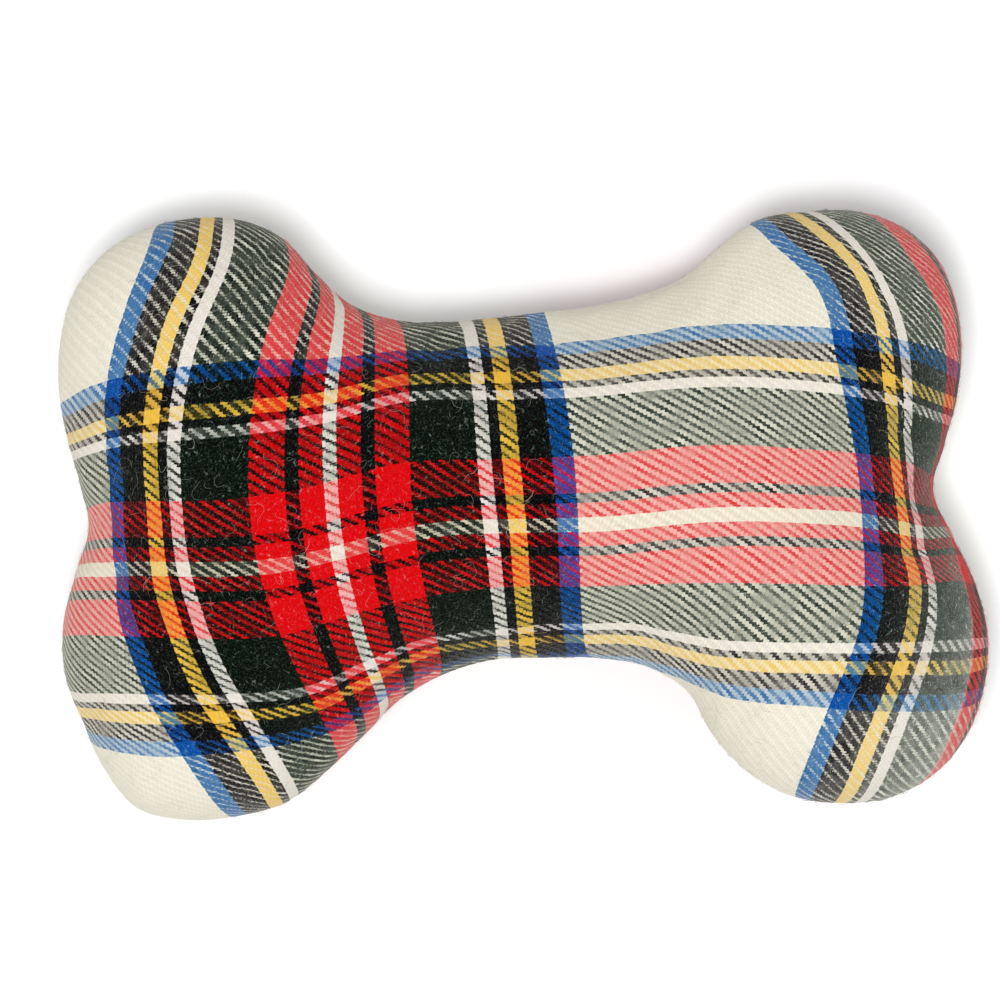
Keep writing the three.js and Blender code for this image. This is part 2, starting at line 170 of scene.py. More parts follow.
def smooth_loop(places, count, steps=24):
    """A closed, smooth line through places, as evenly spaced points."""
    before, here = np.roll(places, 1, 0)[:, None], places[:, None]
    after, beyond = np.roll(places, -1, 0)[:, None], np.roll(places, -2, 0)[:, None]
    t = (np.arange(steps) / steps)[None, :, None]
    curve = (
        2 * here
        + (after - before) * t
        + (2 * before - 5 * here + 4 * after - beyond) * t**2
        + (3 * here - before - 3 * after + beyond) * t**3
    ) / 2
    dense = curve.reshape(-1, 2)
    closed = np.vstack([dense, dense[:1]])
    run = np.concatenate([[0], np.cumsum(np.linalg.norm(np.diff(closed, axis=0), axis=1))])
    wanted = run[-1] * np.arange(count) / count
    return np.column_stack([np.interp(wanted, run, closed[:, k]) for k in (0, 1)])


def inward_of(loop):
    """Unit directions into a counterclockwise loop, square to it."""
    along = np.roll(loop, -1, 0) - np.roll(loop, 1, 0)
    along /= np.linalg.norm(along, axis=1)[:, None]
    return np.column_stack([-along[:, 1], along[:, 0]])


seam = smooth_loop(panel_outline("top_panel", 1), COLUMNS)
seam_inward = inward_of(seam)
seam_length = np.linalg.norm(np.roll(seam, -1, 0) - seam, axis=1).sum()
print("the seam is", round(seam_length / MM), "mm long")

# %% [markdown]
# How deep a point lies is a smooth kind of distance: every bit of the seam counts by the
# inverse cube of how far away it is. Plain distance would leave a sharp ridge down the
# middle, as on a hipped roof.

# %% Depth inside the seam
EXACT_BELOW = 1.0 * MM  # nearer than this, the plain inset is the depth
EDGE_SAMPLES = 1920
BATCHES = 16  # in which the edge is gone through, to spare memory
fine_edge = smooth_loop(seam, EDGE_SAMPLES, steps=8)


def depth_inside(places):
    """How deep each place lies inside the seam, in metres."""
    ahead = np.roll(fine_edge, -1, 0)
    middle, length = (fine_edge + ahead) / 2, np.linalg.norm(ahead - fine_edge, axis=1)
    total = np.zeros(len(places))
    for part in np.array_split(np.arange(len(middle)), BATCHES):
        gap = np.linalg.norm(places[:, None] - middle[None, part], axis=2)
        total += (length[part] / np.maximum(gap, SAME_PLACE) ** 3).sum(1)
    return np.sqrt(2 / total)


def inside_seam(place):
    """Whether the line from a place towards +X crosses the seam an odd number of times."""
    here, ahead = seam - np.array(place.xy), np.roll(seam, -1, 0) - np.array(place.xy)
    crosses = (here[:, 1] > 0) != (ahead[:, 1] > 0)
    a, b = here[crosses], ahead[crosses]
    crossing_x = a[:, 0] - a[:, 1] * (b[:, 0] - a[:, 0]) / (b[:, 1] - a[:, 1])
    return (crossing_x > 0).sum() % 2 == 1


# %% Draw a panel flat
BORDER = 10 * MM  # width of the rings along the seam
BORDER_RINGS = 10
CELL = 2.1 * MM  # of the squares in the middle
DOME_POWER = 0.45  # 0.5 would make a round edge
BIAS = math.radians(17)  # turn of the squares, so that none lies along a stripe
RELAXING = 10  # rounds of smoothing where rings and squares meet


def ring_inset(number):
    """How far a ring lies inside the seam: the first ones are close, where the dome is steep."""
    return BORDER * (number / BORDER_RINGS) ** (1 / DOME_POWER)


def extrude_ring(mesh, ring, places):
    """Extrudes a closed ring of vertices to new places and returns the new ring."""
    edges = [mesh.edges.get((ring[i - 1], ring[i])) for i in range(len(ring))]
    made = bmesh.ops.extrude_edge_only(mesh, edges=edges)["geom"]
    fresh = {v for v in made if isinstance(v, bmesh.types.BMVert)}
    beside = [next(w for e in v.link_edges if (w := e.other_vert(v)) in fresh) for v in ring]
    for v, place in zip(beside, places):
        v.co = place
    return beside


def flat_panel():
    """A bone-shaped sheet in the plane z = 0, and its rings along the seam."""
    mesh = bmesh.new()
    ring = bmesh.ops.create_circle(mesh, segments=COLUMNS, radius=1)["verts"]
    for v, place in zip(ring, seam):
        v.co = (*place, 0)
    rings = [ring]
    for k in range(1, BORDER_RINGS + 1):
        places = [(*p, 0) for p in seam + seam_inward * ring_inset(k)]
        rings.append(extrude_ring(mesh, rings[-1], places))
    squares = middle_squares(mesh)
    gap = [e for e in mesh.edges if e.is_boundary and not set(e.verts) <= set(ring)]
    bmesh.ops.triangle_fill(mesh, edges=gap, use_beauty=True, normal=(0, 0, 1))
    for _ in range(RELAXING):
        bmesh.ops.smooth_vert(mesh, verts=squares, factor=0.5, use_axis_x=True, use_axis_y=True)
    bmesh.ops.recalc_face_normals(mesh, faces=mesh.faces)
    return mesh, rings


def middle_squares(mesh):
    """Squares of cloth everywhere deeper than the rings; returns their vertices."""
    low, high = Vector(seam.min(0)), Vector(seam.max(0))
    side = (high - low).length
    count = round(side / CELL)
    made = bmesh.ops.create_grid(mesh, x_segments=count, y_segments=count, size=side / 2)
    squares = made["verts"]
    bmesh.ops.rotate(mesh, verts=squares, matrix=Matrix.Rotation(BIAS, 3, "Z"))
    depth = depth_inside(np.array([v.co.xy for v in squares]))
    shallow = BORDER + CELL / 2
    left_out = [v for v, d in zip(squares, depth) if d < shallow or not inside_seam(v.co)]
    while left_out:
        bmesh.ops.delete(mesh, geom=left_out, context="VERTS")
        squares = [v for v in squares if v.is_valid]
        left_out = [v for v in squares if sum(len(e.link_faces) < 2 for e in v.link_edges) > 2]
    return squares


# %% Raise it into a dome
REST_FLATTENING = 0.5 * MM  # how deep the table presses the lower panel flat


def raise_dome(mesh, rings, side):
    """Lifts every vertex over the seam (side 1) or under it (side -1)."""
    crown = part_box("top_panel")[1].z - seam_z if side > 0 else seam_z + REST_FLATTENING
    mesh.verts.index_update()
    depth = depth_inside(np.array([v.co.xy for v in mesh.verts]))
    for k, ring in enumerate(rings):
        if ring_inset(k) < EXACT_BELOW:
            depth[[v.index for v in ring]] = ring_inset(k)
    rise = (depth / depth.max()) ** DOME_POWER
    for v, share in zip(mesh.verts, rise):
        v.co.z = seam_z + side * (FOLD_RADIUS + (crown - FOLD_RADIUS) * share)
    if side < 0:
        bmesh.ops.reverse_faces(mesh, faces=mesh.faces)


def new_piece(name, mesh):
    """An object at the origin that holds a bmesh, which it frees."""
    data = bpy.data.meshes.new(name)
    mesh.to_mesh(data)
    mesh.free()
    return placed(name, data)


def in_order(piece):
    """Lists the faces by their corners, and the edges as the faces need them.

    Extruding lists them in another order on each run, which the simulation would feel.
    """
    places = [v.co.copy() for v in piece.data.vertices]
    faces = sorted(tuple(p.vertices) for p in piece.data.polygons)
    piece.data.clear_geometry()
    piece.data.from_pydata(places, [], faces)
    return piece


covers = {}
for name, side in SIDES.items():
    mesh, rings = flat_panel()
    raise_dome(mesh, rings, side)
    covers[name] = in_order(new_piece(name, mesh))
    print(name, "has", len(covers[name].data.polygons), "faces")

# %% [markdown]
# ## Stuffing
#
# The dome is still too even. The real panel is a little larger than it, and pulls itself
# into shallow puckers where the sewn edge holds it. Cloth simulation finds them: the seam is
# pinned, the cloth grows by a few hundredths, and air stands for the fibre that presses
# from within. How far a point may go is capped, and the swelling that all points share is
# taken back, as is any over the steep edge, so that the toy keeps its size and outline.

# %% Swell the covers
FRAMES = 20
AIR = 6.0  # pressure of the fibre
POINT_MASS = 0.001  # of the cloth, in kilograms
LIMPNESS = 0.05  # how little it resists bending
SLACK = 0.02  # how much larger the cloth is than the dome, at the seam
TAUT_FROM = 16 * MM  # deeper inside than this, the cloth is as large as the dome
FURTHEST = 0.9 * MM  # that the simulation may move a point
STEEP = 5 * MM  # as deep as the panel rises steeply from its seam


def evaluated(piece):
    """The piece as its modifiers leave it."""
    return piece.evaluated_get(bpy.context.evaluated_depsgraph_get())


def swell(piece):
    """Lets the piece settle as cloth under pressure; returns how far its points moved."""
    data = piece.data
    before = np.array([v.co for v in data.vertices])
    held = piece.vertex_groups.new(name="seam")
    held.add(range(COLUMNS), 1.0, "REPLACE")
    taut = piece.vertex_groups.new(name="taut")
    depth = depth_inside(before[:, :2])
    for index, share in enumerate(np.minimum(1, depth / TAUT_FROM)):
        taut.add([index], float(share), "REPLACE")
    cloth = piece.modifiers.new("cloth", "CLOTH")
    cloth.settings.vertex_group_mass = held.name
    cloth.settings.vertex_group_shrink = taut.name
    cloth.settings.mass = POINT_MASS
    cloth.settings.bending_stiffness = LIMPNESS
    cloth.settings.shrink_min = -SLACK
    cloth.settings.shrink_max = 0
    cloth.settings.use_pressure = True
    cloth.settings.uniform_pressure_force = AIR
    cloth.settings.effector_weights.gravity = 0
    cloth.collision_settings.use_collision = False
    for number in range(1, FRAMES + 1):
        scene.frame_set(number)
    moved = np.array([v.co for v in evaluated(piece).data.vertices]) - before
    piece.modifiers.remove(cloth)
    piece.vertex_groups.clear()
    length = np.linalg.norm(moved, axis=1)[:, None]
    moved *= np.minimum(1, FURTHEST / np.maximum(length, SAME_PLACE))
    outwards = np.array([v.normal for v in data.vertices])
    swelling = (moved * outwards).sum(1)
    inner = np.minimum(1, depth / STEEP)
    taken_back = swelling.mean() * inner + np.maximum(swelling, 0) * (1 - inner)
    moved -= taken_back[:, None] * outwards
    data.vertices.foreach_set("co", (before + moved).ravel())
    return length


for name, piece in covers.items():
    length = swell(piece)
    capped = (length > FURTHEST).sum()
    print(name, "moved up to", round(length.max() / MM, 2), "mm,", capped, "points capped")
scene.frame_set(1)

for vertex in covers["cover_bottom"].data.vertices:
    vertex.co.z = max(vertex.co.z, 0)

# %% [markdown]
# ## Flat cloth on a swollen toy
#
# A tartan is drawn on flat cloth. Unwrapping the dome with as little stretch as possible says
# where each point was before the panel was stuffed, in the cloth's own plane. A projection
# from above would be simpler, but the stripes would smear down the steep sides.

# %% Unwrap the panels
CLOTH_MAP = "cloth"
UNWRAPPING_ROUNDS = 30
SHAFT_SHARE = 0.25  # of the toy's length, each way from the middle: the cloth is turned by it


def unwrap(piece):
    """Gives the piece a flat map of its cloth."""
    for other in bpy.context.selected_objects:
        other.select_set(False)
    piece.data.uv_layers.new(name=CLOTH_MAP)
    bpy.context.view_layer.objects.active = piece
    piece.select_set(True)
    bpy.ops.object.mode_set(mode="EDIT")
    bpy.ops.mesh.select_all(action="SELECT")
    bpy.ops.uv.unwrap(method="MINIMUM_STRETCH", iterations=UNWRAPPING_ROUNDS, margin=0)
    bpy.ops.object.mode_set(mode="OBJECT")
    piece.select_set(False)


def corner_vertices(data):
    """Which vertex each face corner of a mesh belongs to."""
    found = np.zeros(len(data.loops), int)
    data.loops.foreach_get("vertex_index", found)
    return found


def corner_cloth(data):
    """The cloth coordinates of each face corner."""
    found = np.zeros(2 * len(data.loops))
    data.uv_layers[CLOTH_MAP].uv.foreach_get("vector", found)
    return found.reshape(-1, 2)


def flat_places(piece):
    """Where each vertex lies on the unwrapped cloth, in metres and turned like the toy."""
    data = piece.data
    flat = np.zeros((len(data.vertices), 2))
    flat[corner_vertices(data)] = corner_cloth(data)
    seen = np.array([v.co.xy for v in data.vertices])
    near = np.abs(seen[:, 0]) < SHAFT_SHARE * (cad_high.x - cad_low.x)
    ones = np.ones((len(seen), 1))
    matrix, *_ = np.linalg.lstsq(np.hstack([flat, ones])[near], seen[near], rcond=None)
    turn, _, mirror = np.linalg.svd(matrix[:2])
    true_area = sum(p.area for p in data.polygons)
    corners = [flat[list(p.vertices)] for p in data.polygons]
    cut_area = sum(
        abs((c[:, 0] * np.roll(c[:, 1], -1) - np.roll(c[:, 0], -1) * c[:, 1]).sum()) / 2
        for c in corners
    )
    return flat @ (turn @ mirror) * math.sqrt(true_area / cut_area)


cloth_places = {}
for name, piece in covers.items():
    unwrap(piece)
    cloth_places[name] = flat_places(piece)
    size = np.ptp(cloth_places[name], axis=0) / MM
    print(name, "was cut from cloth", [round(x) for x in size], "mm")

# %% [markdown]
# ## Where the stripes lie
#
# The unwrapping is what perfect cloth would do. The real panel was cut a little askew and
# pulled by its stuffing, so its stripes bow. The stripes are read off the photograph at a
# few places each, and a thin-plate spline, the bending of a steel sheet pinned at those
# places, carries the difference smoothly to the rest of the panel.

# %% The sett, counted from the white line in the middle of the red
WARP_THREAD = 0.68 * MM
WEFT_THREAD = 0.485 * MM
WARP_WIDTHS = [  # of the stripes across the cloth, from a white line to the next cream's middle
    ("white", 1.36), ("red", 4.66), ("black", 2.72), ("red", 6.8), ("green", 12.65),
    ("white", 3.0), ("black", 2.25), ("yellow", 2.8), ("black", 6.2), ("blue", 4.5),
    ("cream", 27.2),
]
WEFT_WIDTHS = [
    ("ivory", 1.07), ("red", 3.2), ("black", 1.75), ("red", 7.6), ("green", 11.1),
    ("white", 1.95), ("black", 1.55), ("yellow", 1.9), ("black", 3.7), ("blue", 3.1),
    ("cream", 28.3),
]


def sett_edges(widths):
    """Where each stripe of half a repeat ends, in metres from the white line."""
    return np.cumsum([width for _, width in widths]) * MM


warp_edge, weft_edge = sett_edges(WARP_WIDTHS), sett_edges(WEFT_WIDTHS)
print("the repeat is", [round(2 * e[-1] / MM, 1) for e in (warp_edge, weft_edge)], "mm")


def middle(edges, stripe):
    """The line in the middle of a stripe."""
    return (edges[stripe - 1] + edges[stripe]) / 2


# %% Stripes read off the photograph
RED_END, WHITE, YELLOW, BLUE_END = 3, 5, 7, 9  # stripes of a sett
warp = {"white": middle(warp_edge, WHITE), "yellow": middle(warp_edge, YELLOW)}
weft = {"white": middle(weft_edge, WHITE), "yellow": middle(weft_edge, YELLOW)}
for edges, lines in ((warp_edge, warp), (weft_edge, weft)):
    lines["red"], lines["blue"] = edges[RED_END], edges[BLUE_END]
    lines["blue start"], lines["black end"] = edges[BLUE_END - 1], edges[RED_END - 1]
next_red = 2 * warp_edge[-1]  # the middle of the next repeat's red
BAND_HIDDEN = 0.2 * MM  # of the red stripe, where the toy's outline cuts it off

warp_pixels = [
    (-warp["blue"], [(152, 232), (136, 280), (115, 340), (105, 400), (106, 450), (112, 520),
                     (117, 600), (140, 680), (180, 750), (212, 800)]),
    (-warp["blue start"], [(178, 236), (152, 290), (135, 340), (122, 385), (121, 450),
                           (124, 520), (129, 600), (148, 650), (168, 700), (201, 750)]),
    (-warp["yellow"], [(205, 232), (194, 280), (173, 320), (154, 400), (151, 460), (156, 530),
                       (167, 600), (197, 680), (242, 750), (272, 796)]),
    (-warp["red"], [(289, 275), (271, 320), (254, 400), (249, 480), (255, 550), (283, 640),
                    (318, 710)]),
    (0, [(338, 330), (330, 400), (332, 500), (348, 600), (372, 670)]),
    (warp["red"], [(403, 335), (409, 400), (411, 500), (424, 590), (438, 645)]),
    (warp["yellow"], [(492, 325), (502, 380), (510, 460), (518, 540), (526, 645)]),
    (warp["blue"], [(547, 320), (562, 380), (573, 450), (579, 550), (585, 645)]),
    (next_red - warp["blue"], [(768, 240), (813, 280), (834, 350), (845, 400), (860, 480),
                               (864, 560), (857, 640), (840, 680), (812, 750), (798, 785)]),
    (next_red - warp["yellow"], [(818, 230), (852, 260), (876, 300), (887, 350), (892, 400),
                                 (902, 500), (917, 580), (904, 660), (872, 740), (853, 788)]),
    (next_red - warp["red"], [(893, 235), (910, 261), (924, 281), (936, 300), (946, 350),
                              (944, 400), (966, 590), (973, 640), (963, 700)]),
    (next_red - warp["black end"] - BAND_HIDDEN, [(922, 246), (944, 278), (954, 310), (958, 345),
                                                  (982, 620), (984, 650), (977, 700), (967, 728)]),
]
weft_pixels = [
    (weft["blue"], [(85, 388), (150, 371), (260, 359), (350, 357), (420, 350), (540, 345),
                    (600, 340), (700, 325), (790, 326), (880, 336), (930, 346)]),
    (weft["yellow"], [(80, 437), (150, 418), (220, 411), (330, 399), (400, 380), (500, 378),
                      (600, 374), (700, 364), (760, 364), (840, 371), (890, 381), (930, 397)]),
    (weft["red"], [(100, 503), (200, 501), (300, 489), (380, 467), (480, 460), (600, 455),
                   (700, 445), (800, 449), (905, 460)]),
    (0, [(95, 570), (200, 569), (300, 562), (350, 550), (400, 536), (460, 527), (560, 525),
         (650, 520), (750, 514), (850, 519), (930, 535)]),
    (-weft["red"], [(85, 635), (200, 639), (280, 636), (350, 615), (400, 603), (480, 590),
                    (600, 587), (700, 583), (800, 584), (950, 580)]),
    (-weft["yellow"], [(90, 713), (190, 717), (280, 712), (320, 705), (425, 652), (480, 644),
                       (620, 637), (700, 659), (790, 666), (900, 667), (960, 667)]),
    (-weft["blue"], [(110, 750), (180, 757), (280, 746), (330, 733), (650, 668), (700, 687),
                     (800, 705), (870, 712), (940, 711)]),
]
print(sum(len(p) for _, p in warp_pixels + weft_pixels), "places read")


# %% Pin the cloth to them
STIFFNESS = 2e-5  # how little the spline bends to a misread place


def skin_of(data):
    """A mesh's faces, ready to be hit by a ray or searched for the nearest place."""
    return BVHTree.FromPolygons([v.co for v in data.vertices], [p.vertices for p in data.polygons])


def on_flat_cloth(piece, places, pixels):
    """Where the photograph's pixels fall on the unwrapped cloth of the top panel."""
    data = piece.data
    skin = skin_of(data)
    found = []
    for pixel in pixels:
        sight = pictured(*pixel) - camera.location
        hit, _, face, _ = skin.ray_cast(camera.location, sight)
        corners = list(data.polygons[face].vertices)[:3]
        shape = [data.vertices[i].co for i in corners]
        cloth = [Vector((*places[i], 0)) for i in corners]
        found.append(barycentric_transform(hit, *shape, *cloth)[:2])
    return np.array(found)


def bend(distance):
    """How far a thin plate bends at a distance from a load."""
    return distance**2 * np.log(np.maximum(distance, SAME_PLACE))


def thin_plate(pins, values, places):
    """Values at pins, carried to other places by a bent plate."""
    size = len(pins)
    flat = np.hstack([np.ones((size, 1)), pins])
    bending = bend(np.linalg.norm(pins[:, None] - pins[None], axis=2)) + STIFFNESS * np.eye(size)
    system = np.block([[bending, flat], [flat.T, np.zeros((3, 3))]])
    weights = np.linalg.solve(system, np.concatenate([values, np.zeros(3)]))
    gap = np.linalg.norm(places[:, None] - pins[None], axis=2)
    plane = np.hstack([np.ones((len(places), 1)), places])
    return bend(gap) @ weights[:size] + plane @ weights[size:]


def lay_tartan(piece, places, stripes):
    """The cloth coordinates of every vertex: how far along the sett each way."""
    laid = []
    for lines in stripes:
        pixels = [pixel for _, run in lines for pixel in run]
        values = np.array([value for value, run in lines for _ in run])
        laid.append(thin_plate(on_flat_cloth(piece, places, pixels), values, places))
    return np.column_stack(laid)


sett_places = {
    "cover_top": lay_tartan(
        covers["cover_top"], cloth_places["cover_top"], (warp_pixels, weft_pixels)
    )
}

# %% [markdown]
# The lower panel shows in no photograph, so it only has to be a plausible neighbour: the same
# cloth, cut a little further along and at a slant of its own.

# %% Lay the lower panel
LOWER_SHIFT = np.array([31.0, -22.0]) * MM
LOWER_SLANT = math.radians(-4)
slant = np.array(Matrix.Rotation(LOWER_SLANT, 2))
sett_places["cover_bottom"] = cloth_places["cover_bottom"] @ slant + LOWER_SHIFT


def keep_sett(piece, places):
    """Writes the cloth coordinates of every vertex into the piece's map."""
    data = piece.data
    layer = data.uv_layers.get(CLOTH_MAP) or data.uv_layers.new(name=CLOTH_MAP)
    layer.uv.foreach_set("vector", places[corner_vertices(data)].ravel())


for name, piece in covers.items():
    keep_sett(piece, sett_places[name])

# %% [markdown]
# ## The folded edge
#
# At the seam each panel turns in on itself and runs a few millimetres inside, as a seam
# allowance. Extruding the edge along a quarter turn and then flat gives it, and a Solidify
# modifier gives the whole sheet its thickness, inwards.

# %% Fold the edges in
CLOTH_THICKNESS = 1.1 * MM
SEAM_ALLOWANCE = 6 * MM
PANEL_GAP = 0.3 * MM  # between the two folded edges
FOLD_STEPS = 4
ALLOWANCE_STEPS = 3


def by_corners(face, count):
    """A number that orders faces by their three lowest vertices, the same on each run."""
    first, second, third = sorted(v.index for v in face.verts)[:3]
    return (first * count + second) * count + third


def corner_of(vertex):
    """One of the face corners that meet at a vertex."""
    return vertex.link_loops[0]


def fold_edge(piece, side):
    """Turns the edge of a cover inwards, and lays the cloth's map on along with it."""
    mesh = bmesh.new()
    mesh.from_mesh(piece.data)
    cloth = mesh.loops.layers.uv[CLOTH_MAP]
    mesh.verts.ensure_lookup_table()
    ring = list(mesh.verts[:COLUMNS])
    here = [corner_of(v)[cloth].uv.copy() for v in ring]
    inner = [next(e.other_vert(v) for e in v.link_edges if not e.is_boundary) for v in ring]
    outwards = [(a - corner_of(v)[cloth].uv).normalized() for a, v in zip(here, inner)]
    drop = FOLD_RADIUS - PANEL_GAP / 2
    path = []
    for step in range(1, FOLD_STEPS + 1):
        turn = math.pi / 2 * step / FOLD_STEPS
        path.append((FOLD_RADIUS * (1 - math.cos(turn)), FOLD_RADIUS - drop * math.sin(turn)))
    for step in range(1, ALLOWANCE_STEPS + 1):
        share = step / ALLOWANCE_STEPS
        path.append((FOLD_RADIUS + (SEAM_ALLOWANCE - FOLD_RADIUS) * share, PANEL_GAP / 2))
    run, last = 0, (0, FOLD_RADIUS)
    for inset, height in path:
        run += math.dist((inset, height), last)
        last = (inset, height)
        places = [(*p, seam_z + side * height) for p in seam + seam_inward * inset]
        ring = extrude_ring(mesh, ring, places)
        for v, start, way in zip(ring, here, outwards):
            for corner in v.link_loops:
                corner[cloth].uv = start + way * run
    bmesh.ops.recalc_face_normals(mesh, faces=mesh.faces)
    mesh.verts.index_update()
    mesh.faces.sort(key=lambda face: by_corners(face, len(mesh.verts)))
    mesh.to_mesh(piece.data)
    mesh.free()


def split_smooth(piece):
    """Splits every face in four, smoothly."""
    smooth = piece.modifiers.new("smooth", "SUBSURF")
    smooth.levels = smooth.render_levels = 1


def thicken(piece, thickness):
    """Gives a sheet its thickness, inwards."""
    wall = piece.modifiers.new("wall", "SOLIDIFY")
    wall.thickness, wall.offset = thickness, -1


for name, side in SIDES.items():
    fold_edge(covers[name], side)
    for polygon in covers[name].data.polygons:
        polygon.use_smooth = True
    split_smooth(covers[name])
    thicken(covers[name], CLOTH_THICKNESS)

# %% [markdown]
# ## Shader arithmetic
#
# A weave is mostly arithmetic: which thread, how far across it, over or under. Written as
# chains of Math nodes it can't be read, so a small class lets a socket be added, multiplied
# and divided like a number, and adds the nodes itself.

# %% Sockets that can be reckoned with
SCREEN_GAMMA = 2.2


class Wire:
    """An output socket that takes part in arithmetic."""

    def __init__(self, finish, socket):
        self.finish, self.socket = finish, socket

    def math(self, operation, *others):
        """The result of a Math node on this value and others."""
        values = dict(enumerate([self, *others]))
        return self.finish.node("Math", {"operation": operation}, values)

    def __add__(self, other):
        return self.math("ADD", other)

    def __sub__(self, other):
        return self.math("SUBTRACT", other)

    def __rsub__(self, other):
        return (self * -1) + other

    def __mul__(self, other):
        return self.math("MULTIPLY", other)

    def __truediv__(self, other):
        return self.math("DIVIDE", other)

    def __mod__(self, other):
        return self.math("FLOORED_MODULO", other)

    def __abs__(self):
        return self.math("ABSOLUTE")

    def limited(self):
        """The value, kept between 0 and 1."""
        return self.finish.node("Clamp", inputs={0: self})

    __radd__, __rmul__ = __add__, __mul__


class Finish:
    """A material under construction: a Principled shader, and nodes added to it."""

    def __init__(self, name, **uniform):
        self.material = bpy.data.materials.new(name)
        self.material.use_nodes = True
        self.tree = self.material.node_tree
        self.shader = self.tree.nodes["Principled BSDF"]
        for socket, value in uniform.items():
            self.shader.inputs[socket.replace("_", " ")].default_value = value

    def node(self, kind, settings=None, inputs=None, out=0):
        """Adds a node, sets it up, wires it, and returns one of its outputs, or several."""
        made = self.tree.nodes.new("ShaderNode" + kind)
        for name, value in (settings or {}).items():
            if name == "stops":
                set_stops(made.color_ramp, value)
            elif name == "interpolation" and kind == "ValToRGB":
                made.color_ramp.interpolation = value
            else:
                setattr(made, name, value)
        for name, value in (inputs or {}).items():
            self.set(made.inputs[name], value)
        if isinstance(out, tuple):
            return [Wire(self, made.outputs[name]) for name in out]
        return Wire(self, made.outputs[out])

    def set(self, socket, value):
        """Links a wire to a socket, or sets a plain value on it."""
        if isinstance(value, Wire):
            self.tree.links.new(value.socket, socket)
        else:
            socket.default_value = value

    def mix(self, share, first, second, blend="MIX"):
        """Two colours mixed: by share, or by another way of blending."""
        settings = {"data_type": "RGBA", "blend_type": blend}
        return self.node("Mix", settings, {0: share, 6: first, 7: second}, out=2)

    def surface(self, **varying):
        """Wires what changes over the surface to the shader, and returns the material."""
        for socket, value in varying.items():
            self.set(self.shader.inputs[socket.replace("_", " ")], value)
        return self.material


def set_stops(ramp, stops):
    """Gives a ramp its places and colours."""
    while len(ramp.elements) < len(stops):
        ramp.elements.new(1)
    for element, (place, colour) in zip(ramp.elements, stops):
        element.position, element.color = place, colour


def screen(red, green, blue):
    """A colour as it is read off a screen."""
    return (red / 255, green / 255, blue / 255, 1.0)


def colour(red, green, blue):
    """The same colour, made linear for the shader."""
    return (*(level**SCREEN_GAMMA for level in screen(red, green, blue)[:3]), 1.0)


# %% [markdown]
# ## The flannel
#
# The cloth is a 2/2 twill: each warp thread passes over two weft threads and under two, one
# step further along on each row, which draws the slanting lines. Where a cream thread
# crosses a black one, both show in turn. So the tartan isn't painted as stripes: each thread
# takes its colour from the sett, and the weave decides which of the two is seen.
#
# Brushed fibres of both threads lie over each other, and the eye mixes them as a screen
# would: dark fibres dull a pale thread more than linear light would say. So the yarns keep
# their screen values through all the mixing, and one Gamma node makes the result linear.

# %% Yarn colours
YARN = {
    "white": screen(224, 216, 208),
    "red": screen(208, 0, 10),
    "black": screen(2, 2, 5),
    "green": screen(2, 17, 8),
    "yellow": screen(232, 181, 62),
    "blue": screen(0, 70, 150),
    "cream": screen(233, 227, 208),
    "ivory": screen(222, 207, 184),
}
COVERING = {  # how well each yarn hides the thread that it crosses
    "cream": 0.0, "ivory": 0.5, "red": 0.62, "green": 0.6, "black": 0.85, "blue": 1.1,
    "yellow": 0.9, "white": 1.2,
}
FLUFF_AND_SHEEN = (226, 226, 216)  # pale loose fibres in the light; also the colour of the sheen painted over the right end


def sett_yarn(finish, thread, pitch, widths):
    """The colour of a thread and how well it covers, by its number from the white line."""
    half = sum(width for _, width in widths) * MM
    place = (thread + 0.5) * pitch
    folded = place.math("PINGPONG", half) / half
    starts = np.concatenate([[0], sett_edges(widths)[:-1]]) / half
    yarns = [(*YARN[name][:3], COVERING[name]) for name, _ in widths]
    stops = list(zip(starts.tolist(), yarns))
    settings = {"stops": stops, "interpolation": "CONSTANT"}
    return finish.node("ValToRGB", settings, {0: folded}, out=("Color", "Alpha"))


# %% [markdown]
# A thread rises over two others and dives under two, so its height follows a wave, and
# across the thread it is round. Of the two threads that cross at a place, the higher one
# shows. That gives each float the shape of a grain of rice. The warp is the stouter yarn,
# so its waves start a little higher, and brushing frays every border.

# %% Weave
FLOAT = math.pi / 2  # of the wave, for each thread crossed
ROUNDNESS = 0.75  # of a thread, against the height of its wave
WARP_LEAD = 0.92  # how much higher the warp lies
COVER_LEAD = 0.5  # how much higher a thread lies that covers well
FRAYING = 2.5  # of the borders, by the nap
FUZZ_SIZE = 1700.0  # of the noise that frays them, per metre
DRIFT = 0.88  # of the threads sideways, in threads
PATCHES = 260.0  # of the noise that brushes some places more, per metre
PATCHINESS = 2.4  # how much it decides which thread shows
CRISPNESS = 1.8  # of the border between two threads
TWILL = (1, 3)  # phases of the two waves that make a 2/2 twill


def threads_at(finish, place):
    """Where a place lies, counted in threads each way; the yarns there; and a fine noise."""
    across, along, _ = finish.node("SeparateXYZ", inputs={0: place}, out=("X", "Y", "Z"))
    stray = {"Vector": place, "Scale": FUZZ_SIZE, "Detail": 2.0, "Roughness": 0.6}
    frayed = finish.node("TexNoise", inputs=stray, out="Color")
    sway = finish.node("SeparateColor", inputs={0: frayed}, out=("Red", "Green", "Blue"))
    warps = across / WARP_THREAD + (sway[0] - 0.5) * DRIFT
    wefts = along / WEFT_THREAD + (sway[1] - 0.5) * DRIFT
    warp_yarn = sett_yarn(finish, warps.math("FLOOR"), WARP_THREAD, WARP_WIDTHS)
    weft_yarn = sett_yarn(finish, wefts.math("FLOOR"), WEFT_THREAD, WEFT_WIDTHS)
    return warps, wefts, warp_yarn, weft_yarn, sway[2]


